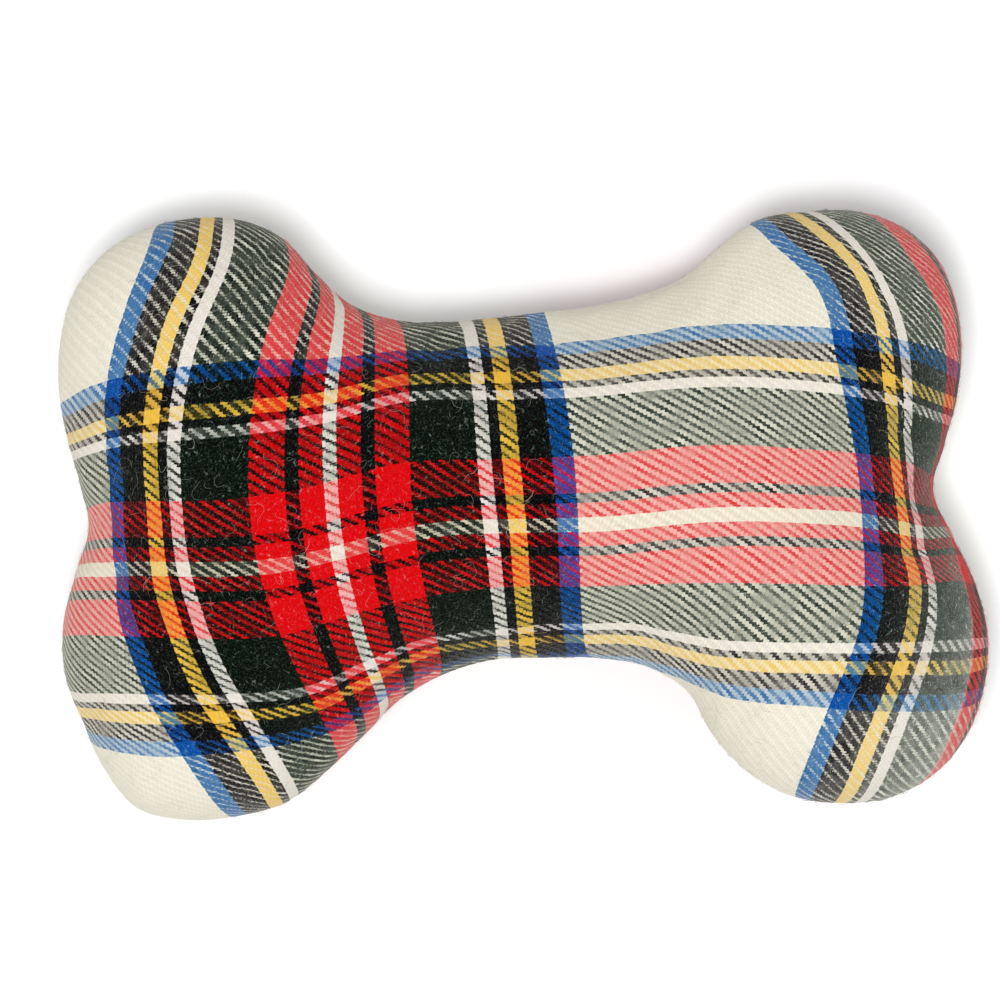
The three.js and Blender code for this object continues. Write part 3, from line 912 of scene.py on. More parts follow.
def weave(finish, place):
    """Which thread shows (1 for the warp), how high it stands, and both threads' colours.

    The last two values are where brushing was stronger, and where the warp is cream.
    """
    warps, wefts, warp_yarn, weft_yarn, fuzz = threads_at(finish, place)
    (warp_colour, warp_cover), (weft_colour, weft_cover) = warp_yarn, weft_yarn
    patch = finish.node("TexNoise", inputs={"Vector": place, "Scale": PATCHES, "Detail": 3.0})
    warp_number, weft_number = warps.math("FLOOR"), wefts.math("FLOOR")
    warp_round = 1 - ((warps % 1) - 0.5).math("POWER", 2) * 4
    weft_round = 1 - ((wefts % 1) - 0.5).math("POWER", 2) * 4
    warp_wave = ((wefts + warp_number - TWILL[0]) * FLOAT).math("COSINE")
    weft_wave = ((warps + weft_number - TWILL[1]) * FLOAT).math("COSINE")
    warp_height = warp_wave + warp_round * ROUNDNESS + WARP_LEAD
    weft_height = weft_wave + weft_round * ROUNDNESS
    lead = warp_height - weft_height + (warp_cover - weft_cover) * COVER_LEAD
    lead = lead + (fuzz - 0.5) * FRAYING + (patch - 0.5) * PATCHINESS
    warp_shows = (lead * CRISPNESS + 0.5).limited()
    height = warp_height.math("MAXIMUM", weft_height)
    creamy = (1 - warp_cover * 2).limited()
    return warp_shows, height, warp_colour, weft_colour, patch, creamy


# %% [markdown]
# Brushing pulls fibres out of the yarn. They lie over the weave as fine, curly hairs, pale
# against the black squares. A smooth noise crosses any given value along such curly lines,
# so a narrow band round that value draws them, and a second noise cuts them to length.

# %% Curly fibres
CUT_SCALE = 1.7  # of the noise that cuts the hairs, against the one that curls them
CUT_SHARPNESS = 8


def hairs(finish, place, per_metre, width, share):
    """A mask of curly hairs, about one to each cell of the noise."""
    curls = {"Scale": per_metre, "Detail": 1.0, "Roughness": 0.4, "Distortion": 0.6}
    curl = finish.node("TexNoise", inputs={"Vector": place, **curls})
    cut = finish.node("TexNoise", inputs={"Vector": place, "Scale": per_metre * CUT_SCALE})
    band = 1 - abs(curl - 0.5) / (width * per_metre)
    return (band.limited() * ((cut - (1 - share)) * CUT_SHARPNESS).limited()).limited()


# %% [markdown]
# The finish puts these together. At the right end, where the nap is seen at a grazing angle,
# a pale sheen is painted over the yarns; painted shade darkens the gaps between threads; and
# cream yarn is softer than dyed yarn everywhere.

# %% Flannel
LOFT = 0.09 * MM  # how far a thread stands out of the cloth
NAP_COVER = 0.36  # how far the brushed fibres blend the two threads
NAP_UNEVENNESS = 1.6
CREAM_NAP = 0.18  # how much more the softer cream warp blends with what crosses it
BLEND = 0.6  # share of the warp where they blend both threads
TINT = (0.25, 0.5)  # how far they tint a weft float, and a warp float
PAINTED_GAP_SHADE = 0.06  # how much painted shade darkens the gaps between threads
SHORT_HAIRS = {"per_metre": 1500, "width": 0.035 * MM, "share": 0.6}
LONG_HAIRS = {"per_metre": 560, "width": 0.06 * MM, "share": 0.5}
HAIR_COVER = (0.26, 0.4)  # how far short hairs and long ones hide the yarns
HAIR_RELIEF = 0.7  # how high short hairs stand, against long ones
PAINTED_NAP_SHEEN = 0.34  # how far a painted sheen of the nap, pale at a grazing angle, hides the yarns at the right end
PAINTED_NAP_SHEEN_FROM = next_red - warp["blue"]  # across the cloth
PAINTED_NAP_SHEEN_TO = next_red - warp["red"]
PAINTED_NAP_SHEEN_FADE = 0.75  # how much weaker the painted sheen is beyond that
PAINTED_NAP_SHEEN_LEAST = 0.6  # of the painted sheen, on the far side of the toy and where the patch noise is lowest
PAINTED_NAP_SHEEN_MORE = 0.8  # of the painted sheen, added where the patch noise is highest


def flannel():
    """Brushed tartan: woven threads, blended by their nap and crossed by loose hairs, with painted shade
    between threads and a painted sheen at the right end.
    """
    finish = Finish(
        "tartan_flannel", Roughness=0.95, Specular_IOR_Level=0.06,
        Sheen_Weight=0.3, Sheen_Roughness=0.4, Sheen_Tint=colour(*FLUFF_AND_SHEEN),
    )
    place = finish.node("UVMap", {"uv_map": CLOTH_MAP})
    warp_shows, height, warp_colour, weft_colour, patch, creamy = weave(finish, place)
    yarn = finish.mix(warp_shows, weft_colour, warp_colour)
    blur = finish.mix(BLEND, weft_colour, warp_colour)
    cover = ((patch - 0.5) * NAP_UNEVENNESS + creamy * CREAM_NAP + NAP_COVER).limited()
    napped = finish.mix(cover, yarn, blur)
    tint = warp_shows * (TINT[1] - TINT[0]) + TINT[0]
    tinted = finish.mix(tint, napped, blur, blend="COLOR")
    # Painted shade: the lower a thread lies at a place, the darker it is drawn there, as shade falls between
    # the threads.
    grey = height * (PAINTED_GAP_SHADE / 2) + (1 - PAINTED_GAP_SHADE)
    shade = finish.node("CombineColor", inputs={0: grey, 1: grey, 2: grey})
    shaded = finish.mix(1.0, tinted, shade, blend="MULTIPLY")
    short = hairs(finish, place, **SHORT_HAIRS)
    long = hairs(finish, place, **LONG_HAIRS)
    across, along, _ = finish.node("SeparateXYZ", inputs={0: place}, out=("X", "Y", "Z"))
    # Painted sheen: the nap at the right end, seen there at a grazing angle, is drawn paler by painting pale
    # fibre colour over the yarns.
    sheen_rise = ((across - PAINTED_NAP_SHEEN_FROM) / (PAINTED_NAP_SHEEN_TO - PAINTED_NAP_SHEEN_FROM)).limited()
    sheen_fade = 1 - ((across - PAINTED_NAP_SHEEN_TO) / FOLD_RADIUS).limited() * PAINTED_NAP_SHEEN_FADE
    nearer = (0.5 - along / (2 * weft["blue"])).limited()
    sheen_patches = patch * PAINTED_NAP_SHEEN_MORE + PAINTED_NAP_SHEEN_LEAST
    nap_sheen = sheen_rise * sheen_fade * (nearer + PAINTED_NAP_SHEEN_LEAST) * sheen_patches * PAINTED_NAP_SHEEN
    # Real loose hairs and the painted sheen are both laid over the yarns in pale fibre colour.
    hidden = short * HAIR_COVER[0] + long * HAIR_COVER[1] + nap_sheen
    hairs_and_sheen = finish.mix(hidden.limited(), shaded, screen(*FLUFF_AND_SHEEN))
    linear = finish.node("Gamma", inputs={0: hairs_and_sheen, 1: SCREEN_GAMMA})
    relief = height + short * HAIR_RELIEF + long
    bump = finish.node("Bump", inputs={"Height": relief, "Distance": LOFT, "Strength": 0.6})
    return finish.surface(Base_Color=linear, Normal=bump)


tartan = flannel()
for piece in covers.values():
    piece.data.materials.append(tartan)
print(len(tartan.node_tree.nodes), "nodes weave the tartan")

# %% [markdown]
# ## Nap and lint
#
# Brushing raises a short nap, and lint from the pale yarns curls over the dark squares. The
# shader can only paint such fibres; at the outline they have to stand up. Hair particles
# would do it, but they aren't a mesh. Here each fibre is a thin tube along a curve, and it
# keeps the cloth coordinates of its root, so that it has the colour of its own yarn.

# %% Tubes along curves
def tubes(name, runs, radius, roundness=0, taper=1.0):
    """A piece with one tube along each run of points, thinner by taper at its ends."""
    line = bpy.data.curves.new(name, "CURVE")
    line.dimensions = "3D"
    line.bevel_depth, line.bevel_resolution = radius, roundness
    line.use_fill_caps = True
    for run in runs:
        spline = line.splines.new("POLY")
        spline.points.add(len(run) - 1)
        spline.points.foreach_set("co", np.column_stack([run, np.ones(len(run))]).ravel())
        spline.points[0].radius = spline.points[-1].radius = taper
    holder = placed(name, line)
    data = bpy.data.meshes.new_from_object(evaluated(holder))
    bpy.data.objects.remove(holder)
    bpy.data.curves.remove(line)
    piece = placed(name, data)
    data.name = name
    for polygon in piece.data.polygons:
        polygon.use_smooth = True
    return piece


# %% Roots
SEED = 5
BARE_BELOW = FOLD_RADIUS * 0.9  # height over the seam up to which no fibre grows
dice = np.random.default_rng(SEED)


def triangles(data):
    """The corners of a mesh's triangles: their vertices, their loops, areas and normals."""
    data.calc_loop_triangles()
    count = len(data.loop_triangles)
    found = []
    for field, width, kind in (("vertices", 3, int), ("loops", 3, int), ("area", 1, float),
                               ("normal", 3, float)):
        values = np.zeros(count * width, kind)
        data.loop_triangles.foreach_get(field, values)
        found.append(values.reshape(count, width))
    return found


def roots(piece, count):
    """Random places, even over a cover: where they are, how they face, and where on the cloth."""
    data = piece.data
    corners, loops, area, normals = triangles(data)
    places = np.array([v.co for v in data.vertices])[corners]
    cloth = corner_cloth(data)[loops]
    outside = np.abs(places[:, :, 2] - seam_z).min(1) > BARE_BELOW
    chance = area[:, 0] * outside
    pick = dice.choice(len(area), count, p=chance / chance.sum())
    share = dice.dirichlet((1, 1, 1), count)[:, :, None]
    return (places[pick] * share).sum(1), normals[pick], (cloth[pick] * share).sum(1)


# %% Let fibres curl over the cloth
FIBRE_SIDES = 4
FIBRE_TAPER = 0.35  # radius of a fibre's ends, against its middle
ARCH_START, ARCH_SPAN = 0.04, 0.92  # of the half wave whose height a fibre follows
SUNK = 0.12  # of the mean lift, by which both ends lie in the cloth
SWAY_KEPT = 0.6  # of a turn, in the next step


def curl_over(piece, start, outwards, length, lift, bends, steps):
    """Runs of points that leave the cloth, wander over it and come back to it."""
    skin = skin_of(piece.data)
    heading = np.cross(outwards, dice.normal(size=start.shape))
    heading /= np.linalg.norm(heading, axis=1)[:, None]
    turn = dice.normal(size=len(start)) * bends
    place, runs = start.copy(), []
    for step in range(steps + 1):
        arch = math.sin(math.pi * (ARCH_START + ARCH_SPAN * step / steps))
        height = lift * arch - lift.mean() * SUNK
        runs.append(place + outwards * height[:, None])
        turn = turn * SWAY_KEPT + dice.normal(size=len(start)) * bends
        side = np.cross(outwards, heading)
        heading = heading * np.cos(turn)[:, None] + side * np.sin(turn)[:, None]
        place = place + heading * (length / steps)[:, None]
        nearest = [skin.find_nearest(p)[:2] for p in place]
        place, outwards = (np.array([n[k] for n in nearest]) for k in (0, 1))
    return np.stack(runs, 1)


def keep_root_cloth(piece, cloth):
    """Gives every fibre of a piece the cloth coordinates of its root."""
    numbers = np.arange(len(cloth))
    caps = np.repeat(numbers[::-1], 2 * FIBRE_SIDES)  # the caps' vertices come first, backwards
    walls = np.repeat(numbers, (len(piece.data.vertices) - len(caps)) // len(cloth))
    keep_sett(piece, cloth[np.concatenate([caps, walls])])


def close_ends(piece):
    """Joins the caps of tubes to their walls."""
    mesh = welded(piece.data)
    bmesh.ops.recalc_face_normals(mesh, faces=mesh.faces)
    mesh.to_mesh(piece.data)
    mesh.free()


# %% Grow the nap and the lint
KINDS = {  # of fibre: how many on the top, how long, how high, how curly, how thick
    "nap": {"count": 5200, "length": 1.3 * MM, "lift": 0.22 * MM, "bends": 0.5, "steps": 3,
            "radius": 0.024 * MM},
    "lint": {"count": 620, "length": 4.2 * MM, "lift": 0.2 * MM, "bends": 0.42, "steps": 8,
             "radius": 0.022 * MM},
}
SHARES = {"top": 1.0, "bottom": 0.6}  # of that number, on each cover
LENGTHS, LIFTS = (0.5, 1.5), (0.3, 1.7)  # the least and the most, against the usual


def grow(cover, name, finish, count, length, lift, bends, steps, radius):
    """A piece of count fibres on a cover."""
    place, outwards, cloth = roots(cover, count)
    reach = length * dice.uniform(*LENGTHS, count)
    rise = lift * dice.uniform(*LIFTS, count)
    runs = curl_over(cover, place, outwards, reach, rise, bends, steps)
    runs[:, :, 2] = np.maximum(runs[:, :, 2], radius)  # the table presses them flat
    piece = tubes(name, runs, radius, taper=FIBRE_TAPER)
    keep_root_cloth(piece, cloth)
    close_ends(piece)
    piece.data.materials.append(finish)
    print(name, "has", len(piece.data.polygons), "faces")
    return piece


def fibre(name, paleness):
    """Yarn fibres: the colour of the thread they come from, made paler by the light in them."""
    finish = Finish(name, Roughness=0.9, Specular_IOR_Level=0.1)
    place = finish.node("UVMap", {"uv_map": CLOTH_MAP})
    _, _, warp_yarn, weft_yarn, _ = threads_at(finish, place)
    yarn = finish.mix(0.5, weft_yarn[0], warp_yarn[0])
    paler = finish.mix(paleness, yarn, screen(*FLUFF_AND_SHEEN))
    return finish.surface(Base_Color=finish.node("Gamma", inputs={0: paler, 1: SCREEN_GAMMA}))


finishes = {"nap": fibre("nap", 0.14), "lint": fibre("lint", 0.6)}
fibres = {}
for side, share in SHARES.items():
    for kind, shape in KINDS.items():
        name = kind + "_" + side
        shape = {**shape, "count": round(shape["count"] * share)}
        fibres[name] = grow(covers["cover_" + side], name, finishes[kind], **shape)

# %% Hide the panels' solids
for name, panel in (("cover_top", "top_panel"), ("cover_bottom", "bottom_panel")):
    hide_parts(panel)

# %% [markdown]
# ## Sewing
#
# A lockstitch machine joins the panels: one thread above the two layers, one below, caught
# together inside the cloth at every stitch. The stretch left open for filling is closed by
# hand with a ladder stitch, one thread that crosses from panel to panel. A sewing thread is
# three yarns twisted together, so each one here is three thin tubes that wind round a path.

# %% The line of the sewing
STITCH_INSET = 2.4 * MM  # from the panels' edge
stitch_line = seam + seam_inward * STITCH_INSET
stitch_line = np.vstack([stitch_line, stitch_line[:1]])
stitch_steps = np.linalg.norm(np.diff(stitch_line, axis=0), axis=1)
stitch_run = np.concatenate([[0], np.cumsum(stitch_steps)])
print("the sewing is", round(stitch_run[-1] / MM), "mm long")


def along_seam(distance):
    """Places so far along the sewing, and the directions into the toy there."""
    rim = np.vstack([seam_inward, seam_inward[:1]])
    there = distance % stitch_run[-1]
    found = [np.interp(there, stitch_run, row) for row in (*stitch_line.T, *rim.T)]
    return np.column_stack(found[:2]), np.column_stack(found[2:])


# %% Twist a thread
PLIES = 3
PLY_SHARE = 0.464  # a yarn's radius, when three fill a thread of radius 1
TWIST = 2.0 * MM  # length of a turn
THREAD_STEP = 0.25 * MM


def twisted(name, distance, height, thickness):
    """A thread that follows the seam at the given heights over its plane."""
    place, inward = along_seam(distance)
    path = np.column_stack([place, seam_z + height])
    side = np.column_stack([inward, np.zeros(len(inward))])
    ahead = np.gradient(path, axis=0)
    ahead /= np.linalg.norm(ahead, axis=1)[:, None]
    across = np.cross(ahead, side)
    run = np.concatenate([[0], np.cumsum(np.linalg.norm(np.diff(path, axis=0), axis=1))])
    yarn = thickness / 2 * PLY_SHARE
    runs = []
    for ply in range(PLIES):
        turn = 2 * math.pi * (run / TWIST + ply / PLIES)[:, None]
        runs.append(path + (thickness / 2 - yarn) * (side * np.cos(turn) + across * np.sin(turn)))
    piece = tubes(name, runs, yarn, roundness=1)
    close_ends(piece)
    print(name, "is", round(run[-1] / MM), "mm long")
    return piece


# %% Machine seam
SEAM_THREAD = 0.45 * MM
STITCH = 2.5 * MM
ON_THE_CLOTH = PANEL_GAP / 2 + CLOTH_THICKNESS + SEAM_THREAD / 3  # height of a thread's middle
IN_THE_CLOTH = PANEL_GAP / 2 + SEAM_THREAD / 2  # where a stitch dives in
DIVE_SHARPNESS = 8
CLOSED_BY_HAND = 40 * MM

low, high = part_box("closing_thread")
to_middle = np.linalg.norm(stitch_line - np.array(((low + high) / 2).xy), axis=1)
closing_middle = stitch_run[to_middle.argmin()]
machine_length = stitch_run[-1] - CLOSED_BY_HAND
machine_run = np.arange(0, machine_length, THREAD_STEP)
dive = np.abs(np.cos(math.pi * machine_run / STITCH)) ** DIVE_SHARPNESS
machine_height = ON_THE_CLOTH + (IN_THE_CLOTH - ON_THE_CLOTH) * dive
machine_start = closing_middle + CLOSED_BY_HAND / 2
threads = {}
for name, side in (("needle_thread", 1), ("bobbin_thread", -1)):
    threads[name] = twisted(
        "sewn_" + name, machine_start + machine_run, side * machine_height, SEAM_THREAD
    )

# %% Ladder stitch
CLOSING_THREAD = 0.6 * MM
CLOSING_STITCH = 5 * MM
STEEPNESS = 6  # of the thread's passes through the cloth
FIRST_PASS = 0.1  # of a stitch, by which the first one is begun
closing_run = np.arange(0, CLOSED_BY_HAND, THREAD_STEP)
closing_height = PANEL_GAP / 2 + CLOTH_THICKNESS + CLOSING_THREAD / 2
rounds = closing_run / CLOSING_STITCH + FIRST_PASS
passes = np.tanh(STEEPNESS * np.sin(math.pi * rounds))
closing_start = closing_middle - CLOSED_BY_HAND / 2
threads["closing_thread"] = twisted(
    "sewn_closing_thread", closing_start + closing_run, closing_height * passes, CLOSING_THREAD
)

# %% [markdown]
# Sewing thread is spun from short fibres, so it is matt and a little hairy. At this size a
# fine noise for the fibres and a slow one for the dye say enough.


# %% Spun polyester
def spun_polyester():
    """A matt, off-white yarn with short fibre ends all over it."""
    finish = Finish("spun_polyester", Roughness=0.72, Specular_IOR_Level=0.3, Sheen_Weight=0.2)
    place = finish.node("TexCoord", out="Object")
    fibres = finish.node("TexNoise", inputs={"Vector": place, "Scale": 9000.0, "Detail": 2.0})
    dye = finish.node("TexNoise", inputs={"Vector": place, "Scale": 320.0, "Detail": 1.0})
    shade = (fibres * 0.5 + dye * 0.5).limited()
    white = finish.mix(shade, colour(206, 200, 184), colour(246, 241, 228))
    bump = finish.node("Bump", inputs={"Height": fibres, "Distance": 0.02 * MM, "Strength": 0.5})
    return finish.surface(Base_Color=white, Normal=bump)


polyester = spun_polyester()
for node, piece in threads.items():
    piece.data.materials.append(polyester)
    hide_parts(node)
    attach(piece, "body")

# %% [markdown]
# ## Filling
#
# The filling is loose polyester fibre, pushed in as handfuls. Each handful is a wad with a
# lumpy skin where the fibre has matted. The wads' solids are smooth, so a copy is remeshed
# into even squares and every point is drawn inwards by a noise, never out into a neighbour.

# %% Make a wad lumpy
WAD_CELL = 2.2 * MM
LUMPS = 0.55 * MM  # how deep
LUMP_SIZE = 5 * MM
TUFT_SIZE = 1.9 * MM
LUMP_SHARE = 0.65  # of the noise; tufts make up the rest
SETTLED = 0.35  # share of the depth by which the skin lies lower everywhere


def wad(node):
    """A lumpy copy of a wad's solid."""
    solid = welded(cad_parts[node].data)
    piece = new_piece("wad_" + node.removeprefix("filling_"), solid)
    grid = piece.modifiers.new("squares", "REMESH")
    grid.mode = "VOXEL"
    grid.voxel_size = WAD_CELL
    piece.data = bpy.data.meshes.new_from_object(evaluated(piece))
    piece.modifiers.clear()
    piece.data.name = piece.name
    mesh = bmesh.new()
    mesh.from_mesh(piece.data)
    bmesh.ops.smooth_vert(mesh, verts=mesh.verts, factor=0.5, use_axis_x=True, use_axis_y=True,
                          use_axis_z=True)
    mesh.normal_update()
    for v in mesh.verts:
        lump = noise.noise(v.co / LUMP_SIZE) * LUMP_SHARE
        lump += noise.noise(v.co / TUFT_SIZE) * (1 - LUMP_SHARE)
        v.co -= v.normal * LUMPS * min(1, max(0, lump + SETTLED))
    for face in mesh.faces:
        face.smooth = True
    mesh.to_mesh(piece.data)
    mesh.free()
    split_smooth(piece)
    return piece


wads = {node: wad(node) for node in sorted(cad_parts) if node.startswith("filling_")}
print(len(wads), "wads,", sum(len(piece.data.polygons) for piece in wads.values()), "faces")

# %% [markdown]
# Fibre fill is a mat of fine strands that cross each other. Three stretched, turned noises
# draw them as they draw curly hairs, and a slower noise makes the tufts.


# %% Polyester fibre
STRAND_TURNS = (0.3, 1.4, 2.5)  # of the three noises
STRAND_TILT = (1.0, 0.7, 1.3)  # how much of its turn each is turned about each axis
STRAND_SHARPNESS = 14


def fibrefill():
    """Matted white fibre: fine, crossing strands with shadows between the tufts."""
    finish = Finish(
        "fibrefill", Roughness=0.9, Specular_IOR_Level=0.2, Sheen_Weight=0.4,
        Sheen_Roughness=0.4,
    )
    place = finish.node("TexCoord", out="Object")
    strands = []
    for turn in STRAND_TURNS:
        settings = {"vector_type": "TEXTURE"}
        rotation = [turn * tilt for tilt in STRAND_TILT]
        inputs = {"Vector": place, "Rotation": rotation, "Scale": (6.0, 1.0, 1.0)}
        stretched = finish.node("Mapping", settings, inputs)
        wisps = {"Vector": stretched, "Scale": 1400.0, "Detail": 2.0, "Distortion": 0.8}
        curl = finish.node("TexNoise", inputs=wisps)
        strands.append((1 - abs(curl - 0.5) * STRAND_SHARPNESS).limited())
    mat = strands[0].math("MAXIMUM", strands[1]).math("MAXIMUM", strands[2])
    tufts = finish.node("TexNoise", inputs={"Vector": place, "Scale": 240.0, "Detail": 3.0})
    shade = (mat * 0.45 + tufts * 0.6).limited()
    white = finish.mix(shade, colour(214, 211, 203), colour(252, 251, 247))
    relief = mat * 0.4 + tufts
    bump = finish.node("Bump", inputs={"Height": relief, "Distance": 0.4 * MM, "Strength": 0.7})
    return finish.surface(Base_Color=white, Normal=bump)


fibre_finish = fibrefill()
for node, piece in wads.items():
    piece.data.materials.clear()
    piece.data.materials.append(fibre_finish)
    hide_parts(node)

# %% [markdown]
# ## Squeaker
#
# The squeaker is a soft, hollow disc, blow-moulded from polyethylene, with a crease round
# its side so that it folds flat. A hard sleeve in its neck holds the reed. The disc is a
# profile spun round its axis; it is drawn as the outer skin only, and Solidify adds the wall.

# %% The bladder's profile
BLADDER_RADIUS = 20 * MM
BLADDER_WALL = 0.9 * MM
RIM_RADIUS = 6 * MM
NECK_RADIUS = 4.8 * MM
CREASE_DEPTH = 1.6 * MM
CREASE_HALF = 1.6 * MM  # half of its height
COLLAR = 0.35 * MM  # height of a low ring round the neck
COLLAR_WIDTH = 2.2 * MM
COLLAR_FOOT = 2.6 * MM  # its width at its foot
squeaker_low, squeaker_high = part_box("squeaker_bladder")
squeaker = (squeaker_low + squeaker_high) / 2


def rim_arc(height, first, last, steps=10):
    """A quarter circle of the rim, from one angle to another."""
    centre = BLADDER_RADIUS - RIM_RADIUS
    angles = [math.radians(first + (last - first) * k / steps) for k in range(steps + 1)]
    return [(centre + RIM_RADIUS * math.cos(a), height + RIM_RADIUS * math.sin(a)) for a in angles]


def crease(steps=8):
    """The fold round the middle of the side, rounded at its bottom."""
    shares = [2 * k / steps - 1 for k in range(steps + 1)]
    depth = [CREASE_DEPTH * (math.cos(math.pi * s) + 1) / 2 for s in shares]
    return [(BLADDER_RADIUS - d, squeaker.z - s * CREASE_HALF) for s, d in zip(shares, depth)]


def bladder_profile():
    """Radius and height of the outer skin, from the neck over the rim to the base's middle."""
    top, base = squeaker_high.z, squeaker_low.z
    face = [(NECK_RADIUS, top - COLLAR), (NECK_RADIUS, top), (NECK_RADIUS + COLLAR_WIDTH, top),
            (NECK_RADIUS + COLLAR_FOOT, top - COLLAR)]
    upper = rim_arc(top - COLLAR - RIM_RADIUS, 90, 0)
    lower = rim_arc(base + RIM_RADIUS, 0, -90)
    return face + upper + crease() + lower + [(RIM_RADIUS, base), (0, base)]


# %% Spin the bladder
SPIN_STEPS = 72


def spun(name, profile):
    """A surface of revolution round the squeaker's axis."""
    mesh = bmesh.new()
    line = [mesh.verts.new((squeaker.x + radius, squeaker.y, z)) for radius, z in profile]
    edges = [mesh.edges.new(pair) for pair in zip(line, line[1:])]
    bmesh.ops.spin(mesh, geom=line + edges, cent=squeaker, axis=(0, 0, 1), angle=2 * math.pi,
                   steps=SPIN_STEPS, use_merge=True)
    bmesh.ops.remove_doubles(mesh, verts=mesh.verts, dist=SAME_PLACE)
    bmesh.ops.recalc_face_normals(mesh, faces=mesh.faces)
    for face in mesh.faces:
        face.smooth = True
    return new_piece(name, mesh)


bladder = spun("air_bladder", bladder_profile())
thicken(bladder, BLADDER_WALL)
print("the bladder is", [round(x / MM, 1) for x in bladder.dimensions], "mm")

# %% [markdown]
# The bladder is soft and slightly cloudy, so light enters it; the sleeve, the reed's bed and
# its wedge are hard and glossier; the reed is a clear film. All three are moulded, so one
# recipe makes them: a faint swirl of the flow, and a fine grain in the gloss.


# %% Squeaker plastics
CLOUDINESS = 1.4  # contrast of the flow pattern
FLOW_GLOSS, GRAIN_GLOSS = 0.12, 0.06  # how much each varies the roughness
FLOW_RELIEF = 3  # depth of the flow pattern, against the grain's


def moulded(name, tone, shadow, **uniform):
    """Moulded plastic with a faint flow pattern and a slightly uneven gloss."""
    finish = Finish(name, **uniform)
    place = finish.node("TexCoord", out="Object")
    flow = {"Vector": place, "Scale": 90.0, "Detail": 3.0, "Distortion": 1.2}
    swirl = finish.node("TexNoise", inputs=flow)
    grain = finish.node("TexNoise", inputs={"Vector": place, "Scale": 2600.0, "Detail": 1.0})
    cloudy = finish.mix(((swirl - 0.5) * CLOUDINESS + 0.5).limited(), tone, shadow)
    usual = finish.shader.inputs["Roughness"].default_value - (FLOW_GLOSS + GRAIN_GLOSS) / 2
    gloss = swirl * FLOW_GLOSS + grain * GRAIN_GLOSS + usual
    height = grain + swirl * FLOW_RELIEF
    relief = {"Height": height, "Distance": 0.02 * MM, "Strength": 0.35}
    bump = finish.node("Bump", inputs=relief)
    return finish.surface(Base_Color=cloudy, Roughness=gloss, Normal=bump)


soft_plastic = moulded(
    "soft_polyethylene", colour(240, 241, 238), colour(222, 226, 224), Roughness=0.5,
    Subsurface_Weight=0.35, Subsurface_Scale=2 * MM, IOR=1.5,
)
hard_plastic = moulded(
    "hard_plastic", colour(246, 246, 242), colour(234, 235, 230), Roughness=0.3, IOR=1.5,
)
reed_film = moulded(
    "reed_film", colour(228, 236, 242), colour(206, 218, 228), Roughness=0.18, IOR=1.57,
    Alpha=0.62,
)
bladder.data.materials.append(soft_plastic)
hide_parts("squeaker_bladder")
inside = {"squeaker_sleeve": hard_plastic, "squeaker_reed_bed": hard_plastic,
          "squeaker_reed_wedge": hard_plastic, "squeaker_reed": reed_film}
for node, finish in inside.items():
    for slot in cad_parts[node].material_slots:
        slot.material = finish

# %% [markdown]
# ## What gives when the toy is squeezed
#
# A finger on the middle pushes a hollow into the toy: it is deepest over the squeaker, fades
# out towards the ends, and reaches down only as far as the squeaker's base. The pad and the
# hard pieces go down whole with the press. Every soft piece round them blends from the body
# to the press with height, and its share is then made to fade with distance from the axis.

# %% Let soft pieces give
PRESSED = 7 * MM  # from the axis, as far as pieces go down whole
HOLLOW = 31 * MM  # from the axis, where the hollow has faded out


def smooth_share(value):
    """Rises smoothly from 0 to 1."""
    value = np.clip(value, 0, 1)
    return value * value * (3 - 2 * value)


def give(piece):
    """Lets a soft piece follow the press over the squeaker and stay put elsewhere."""
    foot = (squeaker.x, squeaker.y, squeaker_low.z)
    head = (squeaker.x, squeaker.y, squeaker_high.z)
    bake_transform(piece, "body", "press", start=foot, end=head)
    places = np.array([v.co for v in piece.data.vertices])
    away = np.linalg.norm(places[:, :2] - np.array(squeaker.xy), axis=1)
    share = piece.data.attributes["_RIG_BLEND"].data
    upwards = np.zeros(len(places), np.float32)
    share.foreach_get("value", upwards)
    fading = 1 - smooth_share((away - PRESSED) / (HOLLOW - PRESSED))
    share.foreach_set("value", (upwards * fading).astype(np.float32))
    return (upwards * fading).max()


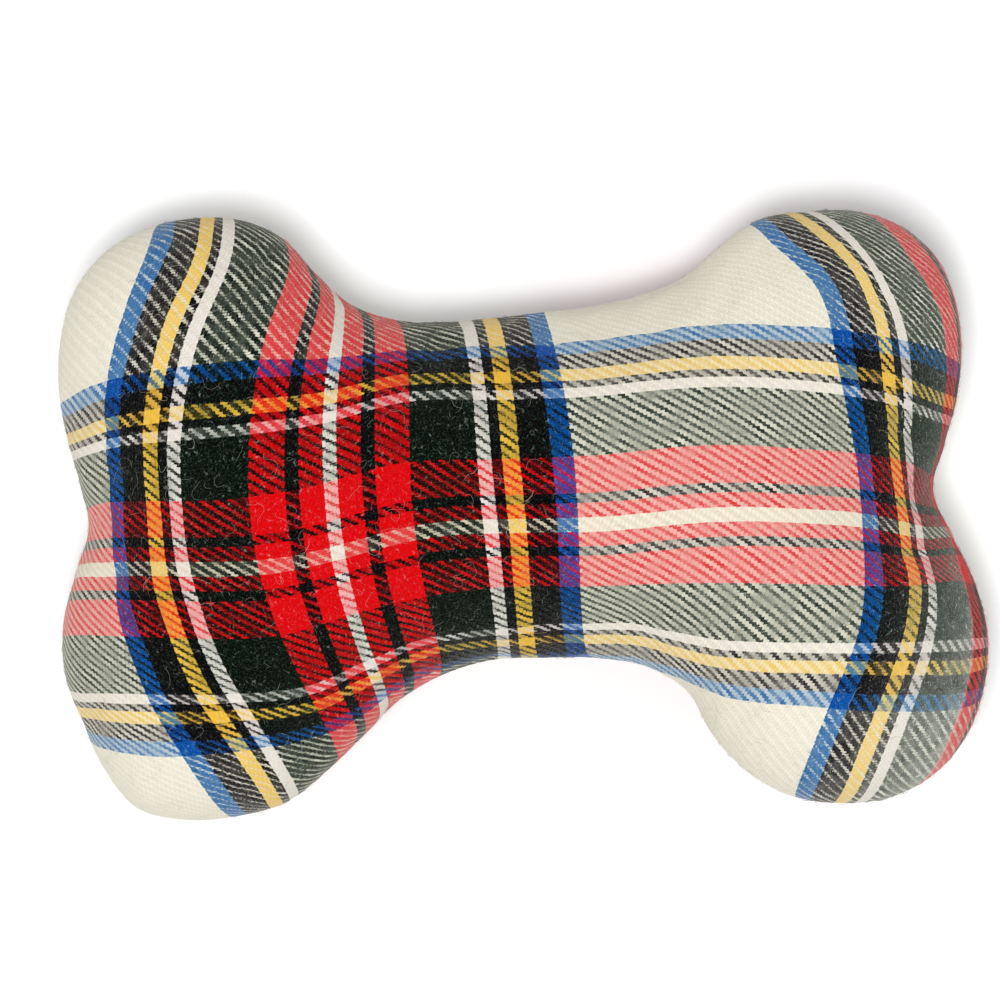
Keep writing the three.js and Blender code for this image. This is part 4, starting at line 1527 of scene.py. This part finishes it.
top_cloth = [covers["cover_top"], fibres["nap_top"], fibres["lint_top"]]
soft_pieces = [*top_cloth, bladder, *wads.values()]
for piece in soft_pieces:
    high_point = max(v.co.z for v in piece.data.vertices)
    nearest = min((v.co.xy - squeaker.xy).length for v in piece.data.vertices)
    if high_point > squeaker_low.z and nearest < HOLLOW:
        print(piece.name, "follows the press up to", round(float(give(piece)), 2))
    else:
        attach(piece, "body")
for piece in (covers["cover_bottom"], fibres["nap_bottom"], fibres["lint_bottom"]):
    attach(piece, "body")

# %% [markdown]
# ## Table and light
#
# The toy lies on white, lit softly from the lower left, so that a faint shadow falls past
# its upper and right edges. The floor is a plain white sheet. To the camera it glows a
# little as well, which makes the paper pure white and leaves the shadow grey.

# %% Floor
FLOOR_SIZE = 4.0
GLOW = 0.15


def paper():
    """White paper that glows a little to the camera, but lights nothing."""
    finish = Finish("white_paper", Base_Color=(0.9, 0.9, 0.9, 1), Roughness=0.9)
    seen = finish.node("LightPath", out=("Is Camera Ray", "Is Glossy Ray", "Is Transmission Ray"))
    glow = finish.node("Emission", inputs={"Strength": (seen[0] + seen[1] + seen[2]) * GLOW})
    both = finish.node("AddShader", inputs={0: glow})
    output = finish.tree.nodes["Material Output"]
    finish.tree.links.new(finish.shader.outputs[0], both.socket.node.inputs[1])
    finish.tree.links.new(both.socket, output.inputs["Surface"])
    return finish.material


floor_mesh = bmesh.new()
bmesh.ops.create_grid(floor_mesh, x_segments=1, y_segments=1, size=FLOOR_SIZE / 2)
floor = new_piece("floor", floor_mesh)
floor.data.materials.append(paper())
floor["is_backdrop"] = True

# %% Lamps
SKY = 0.5  # strength of the light from all round
world = bpy.data.worlds.new("studio")
world.use_nodes = True
sky = world.node_tree.nodes["Background"].inputs
sky["Color"].default_value = (1, 1, 1, 1)
sky["Strength"].default_value = SKY
scene.world = world


def lamp(name, place, size, power):
    """A square lamp that faces the toy."""
    light = placed(name, bpy.data.lights.new(name, "AREA"))
    light.data.size, light.data.energy = size, power
    light.location = place
    towards_toy = Vector((0, 0, seam_z)) - place
    light.rotation_euler = towards_toy.to_track_quat("-Z", "Y").to_euler()


lamp("key", Vector((-0.08, -0.15, 1.2)), size=0.25, power=9.8)
scene.view_settings.view_transform = "Standard"

# %% Sizes
low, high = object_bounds()
print("the dressed toy fills", [round(x / MM, 1) for x in high - low], "mm")
